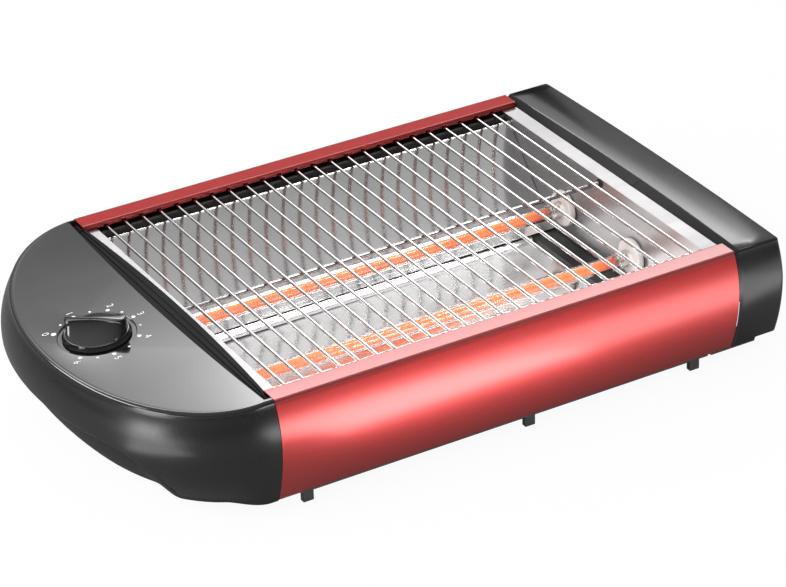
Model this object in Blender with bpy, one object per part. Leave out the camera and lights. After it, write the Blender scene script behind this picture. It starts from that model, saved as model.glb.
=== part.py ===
"""Flat toaster: a wire grill over two quartz tubes, a clockwork timer and a pull-out crumb tray.

Units are metres. X runs from the control end to the end cap, Y from the front to the rear, and
Z up. The origin lies on the table, under the middle of the toaster's outline.
"""
import math

import bmesh
import bpy
from mathutils import Vector

# Overall size of the body
LENGTH = 0.3774
FLANGE_WIDTH = 0.220
TOP_HEIGHT = 0.067
BODY_BOTTOM = 0.0096

# Bulged side, shared by panels, housing and cap: two arcs that meet at the crest
SIDE_BULGE = 0.0054
SIDE_CREST_HEIGHT = 0.043
SIDE_FOOT_DROP = 0.0064
SIDE_STEPS = 5

# Fits and materials
GAP = 0.0003
OVERRUN = 0.001
PANEL_SHEET = 0.0008
THIN_SHEET = 0.0006
PLASTIC_WALL = 0.0024
SHARP_ANGLE = math.radians(35)

# Red side panels
PANEL_INSET = 0.0041
PANEL_CORNER = 0.0010
LIP_HALF_SPAN = 0.0986
LIP_DROP = 0.0030
PANEL_FOOT_FLANGE = 0.0110

# Control housing: half an ellipse in plan, with a finger grip cut under its rim
HOUSING_REACH = 0.068
HOUSING_STEPS = 56
PLATE_DROP = 0.0050
PLATE_WALL = 0.0025
RIM_RADIUS = 0.0020
RIM_GROOVE_WIDTH = 0.0008
RIM_GROOVE_DEPTH = 0.0005
RIM_LAND = 0.0006
CORNER_TUCK = 0.0140
CORNER_TUCK_TURN = math.radians(20)
GRIP_DEPTH = 0.0215
GRIP_HEIGHT = 0.0395
GRIP_LIP = 0.0022
GRIP_FOOT_START = math.radians(38)
GRIP_FOOT_END = math.radians(53)
GRIP_RIM_START = math.radians(26)
GRIP_RIM_END = math.radians(52.5)
GRIP_SWELL = 0.0018
GRIP_SLOPE_STEPS = 3
FOOT_CHAMFER = 0.0008
FOOT_CHAMFER_HEIGHT = 0.0015

# Bezel strip between the housing's plate and the left flange
BEZEL_BOW = 0.0031
BEZEL_RIM = 0.0036
BEZEL_STATIONS = 12
BEZEL_LEDGE = 0.0040
BEZEL_LEDGE_BOW = 0.0040
BEZEL_LEDGE_RIDGE = 0.0006
BEZEL_GROOVE_FLOOR = 0.0006
BEZEL_RIDGE = 0.0011
BEZEL_LEDGE_HEIGHT = 0.0012
BEZEL_EDGE_HEIGHT = 0.0020
BEZEL_SECTION_SHARES = (0.0, 0.06, 0.12, 0.38, 0.41, 0.46, 0.49, 0.66, 0.70, 1.0)

# End cap
CAP_LENGTH = 0.0308
CAP_CORNER = 0.0015
CAP_END_RADIUS = 0.0030
CAP_END_STEPS = 3
CAP_END_BOW = 0.0020
CAP_BOW_STATIONS = 10
CAP_STEP_LENGTH = 0.0057
CAP_STEP_BOW = 0.0029
CAP_STEP_DEPTH = 0.0030
CAP_FOOT_RISE = 0.0020
CAP_WALL = 0.0022
CAP_BOSS_INSET = 0.0190
CAP_BOSS_HALF_SPAN = 0.092

# End plates of the toasting chamber
LEFT_WALL_INSET = 0.01185
RIGHT_WALL_INSET = 0.00935
LEFT_FLANGE = 0.0062
END_FLANGE_DROP = 0.0030
END_FLANGE_HALF_SPAN = 0.0979
END_WEB_SIDE_DROP = 0.0003

# Reflectors: a slope, a rolled edge, a gutter and a bead that carries the wires
REFLECTOR_FOOT_HALF_SPAN = 0.0445
REFLECTOR_TRAY_CLEARANCE = 0.0009
REFLECTOR_TOP_HALF_SPAN = 0.0892
REFLECTOR_TOP_DROP = 0.0064
REFLECTOR_EDGE_ROLL = 0.0012
REFLECTOR_SAG = 0.0015
REFLECTOR_STEPS = 5
GUTTER_DEPTH = 0.0042
GUTTER_WIDTH = 0.0022
BEAD_SLOPE = 0.0012
BEAD_WIDTH = 0.0016

# Grill
WIRE_COUNT = 24
WIRE_RADIUS = 0.0009
WIRE_DROP = 0.0032
WIRE_HALF_LENGTH = 0.104
WIRE_SIDES = 10
FIRST_WIRE_INSET = 0.00575
LAST_WIRE_INSET = 0.00659
NOTCH_CLEARANCE = 0.0004
ROD_RADIUS = 0.00125
ROD_OVERHANG = 0.004

# Quartz tubes with their windings and ceramic holders
TUBE_HALF_SPAN = 0.033
TUBE_HEIGHT = 0.032
TUBE_RADIUS = 0.0040
TUBE_WALL = 0.0009
TUBE_INSERTION = 0.0040
COIL_RADIUS = 0.0026
COIL_END_GAP = 0.0050
TAIL_RADIUS = 0.0010
TAIL_REACH = 0.0060
CERAMIC_DISC_RADIUS = 0.01025
CERAMIC_DISC_THICKNESS = 0.0036
CERAMIC_CHAMFER = 0.0008
CERAMIC_BOSS_WALL = 0.0013
CERAMIC_BOSS_LENGTH = 0.0070
CERAMIC_SPIGOT_RADIUS = 0.0060
CERAMIC_SPIGOT_REACH = 0.0030
ROUND_SIDES = 20

# Crumb tray and its pull
TRAY_LEFT_INSET = 0.00275
TRAY_RIGHT_INSET = 0.01525
TRAY_HALF_WIDTH = 0.050
TRAY_RIM_HEIGHT = 0.0036
TRAY_SIDE_CLEARANCE = 0.0012
TRAY_HEADROOM = 0.0004
PULL_LIP_THICKNESS = 0.0028
PULL_LIP_DROP = 0.0028
PULL_LIP_RECESS = 0.0008
PULL_LIP_HALF_WIDTH = 0.030

# Base plate and feet
BASE_SHEET = 0.0008
BASE_HALF_WIDTH = 0.1055
BASE_LEFT_INSET = 0.0145
BASE_RIGHT_INSET = 0.0121
BASE_RIM_HEIGHT = 0.0026
BASE_TONGUE_HALF_WIDTH = 0.0970
BASE_RIGHT_TONGUE_HALF_WIDTH = 0.1083
BASE_RIGHT_TONGUE_REACH = 0.0156
BASE_VENT_COUNT = 6
BASE_VENT_LENGTH = 0.040
BASE_VENT_WIDTH = 0.0030
BASE_VENT_PITCH = 0.030
FOOT_WIDTH = 0.0058
FOOT_DEPTH = 0.0030
FOOT_TAPER = 0.0004
FOOT_PLACE_SHARES = (0.0181, 0.5501, 0.9687)

# Screw holes and the bosses that take the screws
SCREW_HOLE_RADIUS = 0.0018
PILOT_DEPTH = 0.0080
SCREW_SIDES = 12
BASE_SCREW_HALF_SPAN = 0.1015
BASE_SCREW_SHARES = (0.107, 0.458, 0.882)
BOSS_RADIUS = 0.0035
BOSS_BITE = 0.0005

# Bottom cover of the control housing
COVER_THICKNESS = 0.0020
COVER_SCREWS = ((0.0080, 0.085), (0.0280, 0.056))
COVER_VENT_COUNT = 5
COVER_VENT_PITCH = 0.0070
COVER_VENT_WIDTH = 0.0026
COVER_VENT_LENGTH = 0.0240
COVER_VENT_INSET = 0.0170

# Timer, dial and knob
DIAL_INSET = 0.0374
DIAL_Y = -0.0018
WELL_RADIUS = 0.0200
WELL_DEPTH = 0.0008
STOP_ANGLE = math.radians(142)
SHAFT_RADIUS = 0.0030
SHAFT_FLAT = 0.0022
SHAFT_RISE = 0.0066
SHAFT_SEAT_DEPTH = 0.0080
KNOB_RADIUS = 0.0176
KNOB_RIM_RADIUS = 0.0165
KNOB_LIFT = 0.0006
KNOB_RIM_HEIGHT = 0.0034
KNOB_ROUND = 0.0006
KNOB_RIDGE_HEIGHT = 0.0108
KNOB_FIN_TIP = 0.0156
KNOB_FIN_TAIL = 0.0158
KNOB_TIP_HALF_WIDTH = 0.0008
KNOB_TAIL_HALF_WIDTH = 0.0044
KNOB_NECK_X = 0.0020
KNOB_SIDES = 44
KNOB_SCOOP_POWER = 2.6
KNOB_SCOOP_SHARES = (0.0, 0.10, 0.25, 0.45, 0.70, 0.94)
KNOB_FIN_BLUNT = 0.4
KNOB_HOLLOW_RADIUS = 0.0145
KNOB_HOLLOW_HEIGHT = 0.0025
KNOB_HUB_RADIUS = 0.0052
TIMER_WIDTH = 0.038
TIMER_CORNER = 0.004
TIMER_DEPTH = 0.016
TIMER_CASE_WIDTH = 0.031
TIMER_CASE_DEPTH = 0.006
TIMER_SCREW_RADIUS_AT = 0.0112
TIMER_PILOT_DEPTH = 0.0075

# Cord bushing, terminal block and leads
BUSHING_INSET = 0.0094
BUSHING_HEIGHT = 0.024
BUSHING_NECK_RADIUS = 0.0052
BUSHING_BORE_RADIUS = 0.0034
BUSHING_HOOK_RADIUS = 0.0058
BUSHING_FLANGE_RADIUS = 0.0068
BUSHING_FLANGE_THICKNESS = 0.0018
BUSHING_RECESS = 0.0006
BUSHING_LENGTH = 0.0118
BLOCK_LENGTH = 0.026
BLOCK_WIDTH = 0.014
BLOCK_HEIGHT = 0.012
BLOCK_INSET = 0.0150
BLOCK_Y = 0.055
BLOCK_WELL_RADIUS = 0.0022
BLOCK_WELL_DEPTH = 0.0040
BLOCK_POLES = 3
LEAD_RADIUS = 0.0011
LEAD_BOW = 0.012
LEAD_STEPS = 10
LEAD_STRAIGHT = 0.0025
LEAD_SEAT_GAP = 0.0009

# Places that follow from the sizes above
HALF_WIDTH = FLANGE_WIDTH / 2
RIGHT_END = LENGTH / 2
PLATE_EDGE_X = SIDE_BULGE + HOUSING_REACH - LENGTH / 2
CAP_LEFT_X = RIGHT_END - CAP_LENGTH
PANEL_RIGHT_X = CAP_LEFT_X - GAP
PANEL_LEFT_X = PLATE_EDGE_X + PANEL_INSET
SEAM_X = PANEL_LEFT_X - GAP
LEFT_WALL_X = PLATE_EDGE_X + LEFT_WALL_INSET
RIGHT_WALL_X = CAP_LEFT_X - RIGHT_WALL_INSET
CHAMBER_LENGTH = RIGHT_WALL_X - LEFT_WALL_X
FIRST_WIRE_X = LEFT_WALL_X + FIRST_WIRE_INSET
LAST_WIRE_X = RIGHT_WALL_X - LAST_WIRE_INSET
TRAY_LENGTH = CHAMBER_LENGTH - TRAY_LEFT_INSET - TRAY_RIGHT_INSET
BASE_LEFT_X = PANEL_LEFT_X + BASE_LEFT_INSET
BASE_RIGHT_X = CAP_LEFT_X - BASE_RIGHT_INSET
BASE_RIGHT_TONGUE_X = CAP_LEFT_X + BASE_RIGHT_TONGUE_REACH
BUSHING_OUTER_SPAN = HALF_WIDTH + SIDE_BULGE - BUSHING_RECESS
BUSHING_INNER_SPAN = BUSHING_OUTER_SPAN - BUSHING_LENGTH
PLATE_TILT = math.atan2(PLATE_DROP, HOUSING_REACH)
END_FLANGE_TOP = TOP_HEIGHT - END_FLANGE_DROP
REFLECTOR_TOP_HEIGHT = TOP_HEIGHT - REFLECTOR_TOP_DROP
WIRE_HEIGHT = TOP_HEIGHT - WIRE_DROP
WIRE_BOTTOM = WIRE_HEIGHT - WIRE_RADIUS
BEAD_TOP = WIRE_BOTTOM - GAP
ROD_HEIGHT = WIRE_BOTTOM - GAP - ROD_RADIUS
BASE_TOP = BODY_BOTTOM - GAP
BASE_WEB_BOTTOM = BASE_TOP - BASE_SHEET
TRAY_TOP = BODY_BOTTOM + TRAY_RIM_HEIGHT
TRAY_SLOT_TOP = TRAY_TOP + TRAY_HEADROOM
REFLECTOR_FOOT_HEIGHT = TRAY_TOP + REFLECTOR_TRAY_CLEARANCE
COVER_TOP = BODY_BOTTOM + COVER_THICKNESS
DIAL_X = PLATE_EDGE_X - DIAL_INSET
PLATE_AT_DIAL = TOP_HEIGHT - DIAL_INSET * PLATE_DROP / HOUSING_REACH

# Colour, roughness, metallic value and transmission of each finish
FINISHES = {
    "gloss black": ((0.020, 0.020, 0.022), 0.16, 0.0, 0.0),
    "satin black": ((0.025, 0.025, 0.027), 0.42, 0.0, 0.0),
    "metallic red": ((0.560, 0.035, 0.038), 0.30, 0.65, 0.0),
    "polished": ((0.86, 0.86, 0.87), 0.08, 1.0, 0.0),
    "chromed wire": ((0.80, 0.80, 0.81), 0.14, 1.0, 0.0),
    "dark sheet": ((0.085, 0.085, 0.090), 0.45, 0.3, 0.0),
    "dark rubber": ((0.070, 0.070, 0.075), 0.60, 0.0, 0.0),
    "ceramic": ((0.82, 0.78, 0.74), 0.50, 0.0, 0.0),
    "quartz": ((0.95, 0.93, 0.90), 0.05, 0.0, 0.9),
    "glowing winding": ((1.00, 0.33, 0.08), 0.50, 0.2, 0.0),
    "zinc plated": ((0.62, 0.62, 0.60), 0.30, 1.0, 0.0),
    "white plastic": ((0.80, 0.80, 0.78), 0.45, 0.0, 0.0),
    "lead sleeve": ((0.55, 0.52, 0.46), 0.60, 0.0, 0.0),
}


def lerp(start, end, share):
    """The value a share of the way from start to end."""
    return start + (end - start) * share


def smooth_step(share):
    """A share eased at both ends and held between 0 and 1."""
    held = min(max(share, 0.0), 1.0)
    return held * held * (3.0 - 2.0 * held)


def clear_scene():
    """Remove every object that the scene holds."""
    for thing in list(bpy.data.objects):
        bpy.data.objects.remove(thing, do_unlink=True)


def finish_material(node, finish):
    """A Principled material of the node's own, with the values of its finish."""
    colour, roughness, metallic, transmission = FINISHES[finish]
    material = bpy.data.materials.new(node + "_finish")
    material.use_nodes = True
    shader = material.node_tree.nodes["Principled BSDF"]
    shader.inputs["Base Color"].default_value = (*colour, 1.0)
    shader.inputs["Roughness"].default_value = roughness
    shader.inputs["Metallic"].default_value = metallic
    shader.inputs["Transmission Weight"].default_value = transmission
    return material


def mesh_data(name, shape, finish):
    """Turn a bmesh into smooth-shaded mesh data with its material."""
    bmesh.ops.recalc_face_normals(shape, faces=shape.faces)
    data = bpy.data.meshes.new(name)
    shape.to_mesh(data)
    shape.free()
    data.shade_smooth()
    data.set_sharp_from_angle(angle=SHARP_ANGLE)
    data.materials.append(finish_material(name, finish))
    return data


def add_part(name, shape, finish, parent=None):
    """Link a bmesh as one named sub-part, with its origin at its parent's."""
    part = bpy.data.objects.new(name, mesh_data(name, shape, finish))
    bpy.context.collection.objects.link(part)
    part.parent = parent
    return part


def add_copy(name, data, location, rotation=(0.0, 0.0, 0.0)):
    """Link one more object that shares mesh data, at its own place."""
    part = bpy.data.objects.new(name, data)
    bpy.context.collection.objects.link(part)
    part.location = location
    part.rotation_euler = rotation
    return part


def add_empty(name, location, rotation=(0.0, 0.0, 0.0), parent=None):
    """An empty that carries the pieces of one joint or seat."""
    empty = bpy.data.objects.new(name, None)
    bpy.context.collection.objects.link(empty)
    empty.location = location
    empty.rotation_euler = rotation
    empty.parent = parent
    return empty


def shape_with(part, tool_shape, operation, parent=None):
    """Cut a tool out of a part, or join it on, with an exact Boolean modifier."""
    bmesh.ops.recalc_face_normals(tool_shape, faces=tool_shape.faces)
    label = "tool_%02d_%s" % (len(part.modifiers), part.name)
    data = bpy.data.meshes.new(label)
    tool_shape.to_mesh(data)
    tool_shape.free()
    tool = bpy.data.objects.new(label, data)
    bpy.context.collection.objects.link(tool)
    tool.hide_render = True
    tool.display_type = "WIRE"
    tool.parent = parent
    modifier = part.modifiers.new(label, "BOOLEAN")
    modifier.operation = operation
    modifier.solver = "EXACT"
    modifier.object = tool


def cut(part, tool_shape, parent=None):
    """Cut a tool out of a part."""
    shape_with(part, tool_shape, "DIFFERENCE", parent)


def join(part, tool_shape, parent=None):
    """Join a tool onto the part that it overlaps."""
    shape_with(part, tool_shape, "UNION", parent)


def prism(shape, outline, axis, low, high):
    """Extrude a flat outline along one axis; its points are the other two coordinates in order."""
    def place(point, level):
        coords = list(point)
        coords.insert("xyz".index(axis), level)
        return coords

    bottom = [shape.verts.new(place(point, low)) for point in outline]
    top = [shape.verts.new(place(point, high)) for point in outline]
    shape.faces.new(bottom)
    shape.faces.new(top)
    for index in range(len(outline)):
        after = (index + 1) % len(outline)
        shape.faces.new((bottom[index], bottom[after], top[after], top[index]))
    return shape


def box(shape, low, high):
    """A closed box between two corners."""
    outline = [(low[0], low[1]), (high[0], low[1]), (high[0], high[1]), (low[0], high[1])]
    return prism(shape, outline, "z", low[2], high[2])


def circle(radius, sides, centre=(0.0, 0.0)):
    """Points of a circle in a plane."""
    turns = [2 * math.pi * index / sides for index in range(sides)]
    return [(centre[0] + radius * math.cos(a), centre[1] + radius * math.sin(a)) for a in turns]


def mirrored(outline):
    """The outline with its first coordinate mirrored."""
    return [(-first, second) for first, second in outline]


def loft(shape, rings):
    """Skin closed rings of equal length and cap both ends."""
    loops = [[shape.verts.new(point) for point in ring] for ring in rings]
    for lower, upper in zip(loops, loops[1:]):
        for index in range(len(lower)):
            after = (index + 1) % len(lower)
            shape.faces.new((lower[index], lower[after], upper[after], upper[index]))
    shape.faces.new(loops[0])
    shape.faces.new(loops[-1])
    return shape


def turned(shape, profile, sides):
    """Turn a closed profile of (radius, height) points round Z; its points stay off the axis."""
    rings = []
    for index in range(sides):
        turn = 2 * math.pi * index / sides
        rings.append([shape.verts.new((radius * math.cos(turn), radius * math.sin(turn), height))
                      for radius, height in profile])
    for index in range(sides):
        here, after = rings[index], rings[(index + 1) % sides]
        for low in range(len(profile)):
            high = (low + 1) % len(profile)
            shape.faces.new((here[low], after[low], after[high], here[high]))
    return shape


def stepped_rod(shape, levels, sides):
    """A solid rod round Z that changes radius in steps, from (radius, height) levels."""
    return loft(shape, [[(x, y, height) for x, y in circle(radius, sides)] for radius, height in levels])


def thickened(path, thickness):
    """Closed outline of a folded sheet: a path, and the same path offset to its right."""
    offset = []
    for index, point in enumerate(path):
        here = Vector(point)
        before = (here - Vector(path[index - 1])).normalized() if index else None
        after = (Vector(path[index + 1]) - here).normalized() if index + 1 < len(path) else None
        before = before or after
        after = after or before
        bisector = (before + after).normalized()
        normal = Vector((bisector.y, -bisector.x))
        mitre = thickness / normal.dot(Vector((before.y, -before.x)))
        offset.append(tuple(here + normal * mitre))
    return list(path) + offset[::-1]


def side_half_width(height, start):
    """Half the width of the bulged side at a height; start is where the upper arc begins."""
    if height >= SIDE_CREST_HEIGHT:
        share = (height - SIDE_CREST_HEIGHT) / (start - SIDE_CREST_HEIGHT)
        return HALF_WIDTH + SIDE_BULGE * (1.0 - share * share)
    share = (SIDE_CREST_HEIGHT - height) / (SIDE_CREST_HEIGHT - BODY_BOTTOM)
    return HALF_WIDTH + SIDE_BULGE - SIDE_FOOT_DROP * share * share


def side_path(corner):
    """Cross-section of the side, from the top face's edge round the corner down to the foot."""
    start = TOP_HEIGHT - corner
    path = [(HALF_WIDTH - corner, TOP_HEIGHT),
            (HALF_WIDTH - corner + corner * math.sin(math.pi / 4), start + corner * math.cos(math.pi / 4))]
    for index in range(SIDE_STEPS):
        height = lerp(start, SIDE_CREST_HEIGHT, index / SIDE_STEPS)
        path.append((side_half_width(height, start), height))
    for index in range(SIDE_STEPS + 1):
        height = lerp(SIDE_CREST_HEIGHT, BODY_BOTTOM, index / SIDE_STEPS)
        path.append((side_half_width(height, start), height))
    return path


def wire_places():
    """X of every grill wire."""
    return [lerp(FIRST_WIRE_X, LAST_WIRE_X, index / (WIRE_COUNT - 1)) for index in range(WIRE_COUNT)]


def add_side_panels():
    """Red sheet panels: notched lip, top flange, bulged side and foot flange in one fold."""
    side = side_path(PANEL_CORNER)
    foot = side[-1]
    path = [(LIP_HALF_SPAN, TOP_HEIGHT - LIP_DROP), (LIP_HALF_SPAN, TOP_HEIGHT)] + side
    path.append((foot[0] - PANEL_FOOT_FLANGE, foot[1]))
    outline = thickened(path, PANEL_SHEET)
    notch_reach = WIRE_RADIUS + NOTCH_CLEARANCE
    for name, points, sign in (("front_panel", mirrored(outline), -1), ("rear_panel", outline, 1)):
        panel = add_part(name, prism(bmesh.new(), points, "x", PANEL_LEFT_X, PANEL_RIGHT_X), "metallic red")
        notches = bmesh.new()
        for x in wire_places():
            near = sign * (LIP_HALF_SPAN - OVERRUN)
            far = sign * (LIP_HALF_SPAN + PANEL_SHEET + OVERRUN)
            box(notches, (x - notch_reach, min(near, far), TOP_HEIGHT - LIP_DROP - OVERRUN),
                (x + notch_reach, max(near, far), WIRE_HEIGHT + notch_reach))
        cut(panel, notches)
        holes = bmesh.new()
        for x, y in base_screw_places():
            if y * sign > 0:
                prism(holes, circle(SCREW_HOLE_RADIUS, SCREW_SIDES, (x, y)), "z",
                      BODY_BOTTOM - OVERRUN, BODY_BOTTOM + PANEL_SHEET + OVERRUN)
        cut(panel, holes)


def base_screw_places():
    """Plan places of the screws that hold the base plate to the panels."""
    places = []
    for share in BASE_SCREW_SHARES:
        for sign in (-1, 1):
            places.append((lerp(BASE_LEFT_X, BASE_RIGHT_X, share), sign * BASE_SCREW_HALF_SPAN))
    return places


def cap_boss_places():
    """Plan places of the end cap's two screw bosses."""
    x = RIGHT_END - CAP_BOSS_INSET
    return [(x, -CAP_BOSS_HALF_SPAN), (x, CAP_BOSS_HALF_SPAN)]


def cover_boss_places():
    """Plan places of the control housing's screw bosses."""
    places = []
    for inset, half_span in COVER_SCREWS:
        places.append((PLATE_EDGE_X - inset, -half_span))
        places.append((PLATE_EDGE_X - inset, half_span))
    return places


def plate_height(x):
    """Height of the housing's top, which slopes down from its straight edge."""
    return TOP_HEIGHT - max(0.0, PLATE_EDGE_X - x) * PLATE_DROP / HOUSING_REACH


def housing_stations(overrun=0.0):
    """Places round the housing: X, Y, outward direction and angle from the apex."""
    stations = [(SEAM_X + overrun, -HALF_WIDTH, 0.0, -1.0, -math.pi / 2)]
    for index in range(HOUSING_STEPS + 1):
        angle = lerp(-math.pi / 2, math.pi / 2, index / HOUSING_STEPS)
        outward = Vector((-math.cos(angle) / HOUSING_REACH, math.sin(angle) / HALF_WIDTH)).normalized()
        stations.append((PLATE_EDGE_X - HOUSING_REACH * math.cos(angle), HALF_WIDTH * math.sin(angle),
                         outward.x, outward.y, angle))
    stations.append((SEAM_X + overrun, HALF_WIDTH, 0.0, 1.0, math.pi / 2))
    return stations


def corner_tuck(angle):
    """How far the wall curls in at its foot, from the crest, where there is no grip."""
    return lerp(SIDE_FOOT_DROP, CORNER_TUCK, smooth_step((math.pi / 2 - abs(angle)) / CORNER_TUCK_TURN))


def foot_inset(angle):
    """How far the housing's foot lies inside the crest: deep under the grip, less at the corners."""
    share = (abs(angle) - GRIP_FOOT_START) / (GRIP_FOOT_END - GRIP_FOOT_START)
    return lerp(GRIP_DEPTH, corner_tuck(angle), smooth_step(share))


def rim_share(angle):
    """1 where the rim is cut back in full for the fingers; it falls to 0 as a quarter ellipse."""
    share = min(max((abs(angle) - GRIP_RIM_START) / (GRIP_RIM_END - GRIP_RIM_START), 0.0), 1.0)
    return math.sqrt(1.0 - share * share)


def wall_offset(height, start, angle):
    """How far the housing's wall stands out from the top outline at a height."""
    if height >= SIDE_CREST_HEIGHT:
        share = (height - SIDE_CREST_HEIGHT) / (start - SIDE_CREST_HEIGHT)
        return SIDE_BULGE * (1.0 - share * share)
    share = (SIDE_CREST_HEIGHT - height) / (SIDE_CREST_HEIGHT - BODY_BOTTOM)
    return SIDE_BULGE - (corner_tuck(angle) - FOOT_CHAMFER) * share * share


def station_column(station, rows):
    """Place (offset, height) rows at one station."""
    x, y, out_x, out_y, angle = station
    return [(x + out_x * offset, y + out_y * offset, height) for offset, height in rows]


def outer_rows(station):
    """Outside of the housing at one station, from the plate over the rim down to the foot."""
    angle = station[4]
    top = plate_height(station[0])
    start = top - RIM_RADIUS
    rows = [(-RIM_RADIUS - RIM_LAND - RIM_GROOVE_WIDTH, top),
            (-RIM_RADIUS - RIM_LAND - RIM_GROOVE_WIDTH / 2, top - RIM_GROOVE_DEPTH),
            (-RIM_RADIUS - RIM_LAND, top)]
    for index in range(4):
        turn = math.pi / 2 * index / 3
        rows.append((RIM_RADIUS * (math.sin(turn) - 1.0), start + RIM_RADIUS * math.cos(turn)))
    for index in range(1, 5):
        height = lerp(start, SIDE_CREST_HEIGHT, index / 4)
        rows.append((wall_offset(height, start, angle), height))
    rim = lerp(BODY_BOTTOM + FOOT_CHAMFER_HEIGHT, GRIP_HEIGHT, rim_share(angle))
    for index in range(1, 4):
        height = lerp(SIDE_CREST_HEIGHT, rim, index / 3)
        rows.append((wall_offset(height, start, angle), height))
    lip = lerp(FOOT_CHAMFER / 2, GRIP_LIP, rim_share(angle))
    under = rows[-1][0] - lip
    foot = SIDE_BULGE - foot_inset(angle)
    for index in range(GRIP_SLOPE_STEPS + 1):
        share = index / GRIP_SLOPE_STEPS
        swell = GRIP_SWELL * rim_share(angle) * 4 * share * (1.0 - share)
        rows.append((lerp(under, foot, share) + swell, lerp(rim, BODY_BOTTOM, share)))
    return rows


def wall_turn(angle):
    """The angle one wall thickness nearer the apex, whose wider grip leaves the arch its wall."""
    return max(abs(angle) - PLASTIC_WALL / HOUSING_REACH, 0.0)


def inner_foot(angle):
    """Offset of the cavity's foot from the top outline."""
    return SIDE_BULGE - max(foot_inset(angle), foot_inset(wall_turn(angle))) - PLASTIC_WALL


def inner_rows(station):
    """Cavity of the housing at one station: the outside set in by the wall."""
    angle = station[4]
    ceiling = plate_height(station[0]) - PLATE_WALL
    start = plate_height(station[0]) - RIM_RADIUS
    shoulder = ceiling - RIM_RADIUS
    rows = [(-PLASTIC_WALL - RIM_RADIUS, ceiling), (-PLASTIC_WALL, shoulder)]
    for index in range(1, 3):
        height = lerp(shoulder, SIDE_CREST_HEIGHT + PLASTIC_WALL, index / 2)
        rows.append((wall_offset(height, start, angle) - PLASTIC_WALL, height))
    rim = lerp(BODY_BOTTOM + FOOT_CHAMFER_HEIGHT, GRIP_HEIGHT, rim_share(wall_turn(angle))) + PLASTIC_WALL
    rows.append((wall_offset(rim, start, angle) - PLASTIC_WALL, rim))
    rows.append((inner_foot(angle), BODY_BOTTOM))
    rows.append((inner_foot(angle), BODY_BOTTOM - OVERRUN))
    return rows


def housing_solid(stations, row_maker):
    """Skin the columns of a housing surface and close its top, foot and back."""
    shape = bmesh.new()
    columns = [[shape.verts.new(point) for point in station_column(station, row_maker(station))]
               for station in stations]
    for here, after in zip(columns, columns[1:]):
        for row in range(len(here) - 1):
            shape.faces.new((here[row], after[row], after[row + 1], here[row + 1]))
    shape.faces.new([column[0] for column in columns[1:-1]])
    shape.faces.new((columns[0][0], columns[1][0], columns[-2][0], columns[-1][0]))
    shape.faces.new([column[-1] for column in columns])
    shape.faces.new(columns[0] + columns[-1][::-1])
    return shape


def bezel_half_span():
    """Half the length of the strip that the bezel fills, between the housing's rims."""
    return HALF_WIDTH - BEZEL_RIM


def plate_edge(y):
    """X of the plate's bowed edge."""
    share = y / bezel_half_span()
    return PLATE_EDGE_X - BEZEL_BOW * (1.0 - share * share)


def timer_screw_places():
    """Places of the timer's two screws in the dial's frame."""
    return [(0.0, -TIMER_SCREW_RADIUS_AT), (0.0, TIMER_SCREW_RADIUS_AT)]


def add_control_housing(dial, outlet):
    """Black moulded shell: sloping top, bulged wall, finger grip, dial well and screw bosses."""
    housing = add_part("control_housing", housing_solid(housing_stations(), outer_rows), "gloss black")
    cut(housing, housing_solid(housing_stations(OVERRUN), inner_rows))

    half = bezel_half_span()
    bow = [(plate_edge(y), y) for y in (lerp(-half, half, i / BEZEL_STATIONS)
                                        for i in range(BEZEL_STATIONS + 1))]
    seat = [(SEAM_X + OVERRUN, -half)] + bow + [(SEAM_X + OVERRUN, half)]
    cut(housing, prism(bmesh.new(), seat, "z", TOP_HEIGHT - PLATE_WALL - OVERRUN, TOP_HEIGHT + OVERRUN))

    well = prism(bmesh.new(), circle(WELL_RADIUS, KNOB_SIDES), "z", -WELL_DEPTH, PLATE_WALL)
    cut(housing, well, dial)
    holes = prism(bmesh.new(), circle(SHAFT_RADIUS + 2 * GAP, ROUND_SIDES), "z",
                  -PLATE_WALL - OVERRUN, OVERRUN)
    for place in timer_screw_places():
        prism(holes, circle(SCREW_HOLE_RADIUS, SCREW_SIDES, place), "z", -PLATE_WALL - OVERRUN, OVERRUN)
    cut(housing, holes, dial)

    bosses = bmesh.new()
    pilots = bmesh.new()
    for x, y in cover_boss_places():
        ceiling = plate_height(x + BOSS_RADIUS) - PLATE_WALL
        prism(bosses, circle(BOSS_RADIUS, SCREW_SIDES, (x, y)), "z", COVER_TOP + GAP, ceiling + BOSS_BITE)
        prism(pilots, circle(SCREW_HOLE_RADIUS, SCREW_SIDES, (x, y)), "z",
              COVER_TOP - OVERRUN, COVER_TOP + PILOT_DEPTH)
    join(housing, bosses)
    cut(housing, pilots)
    flange_seat = BUSHING_OUTER_SPAN - BUSHING_FLANGE_THICKNESS - GAP
    hook_seat = BUSHING_INNER_SPAN + BUSHING_FLANGE_THICKNESS + GAP
    levels = ((BUSHING_HOOK_RADIUS + GAP, BUSHING_INNER_SPAN - OVERRUN), (BUSHING_HOOK_RADIUS + GAP, hook_seat),
              (BUSHING_NECK_RADIUS + GAP, hook_seat), (BUSHING_NECK_RADIUS + GAP, flange_seat),
              (BUSHING_FLANGE_RADIUS + GAP, flange_seat),
              (BUSHING_FLANGE_RADIUS + GAP, BUSHING_OUTER_SPAN + OVERRUN))
    cut(housing, stepped_rod(bmesh.new(), levels, ROUND_SIDES), outlet)


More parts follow.
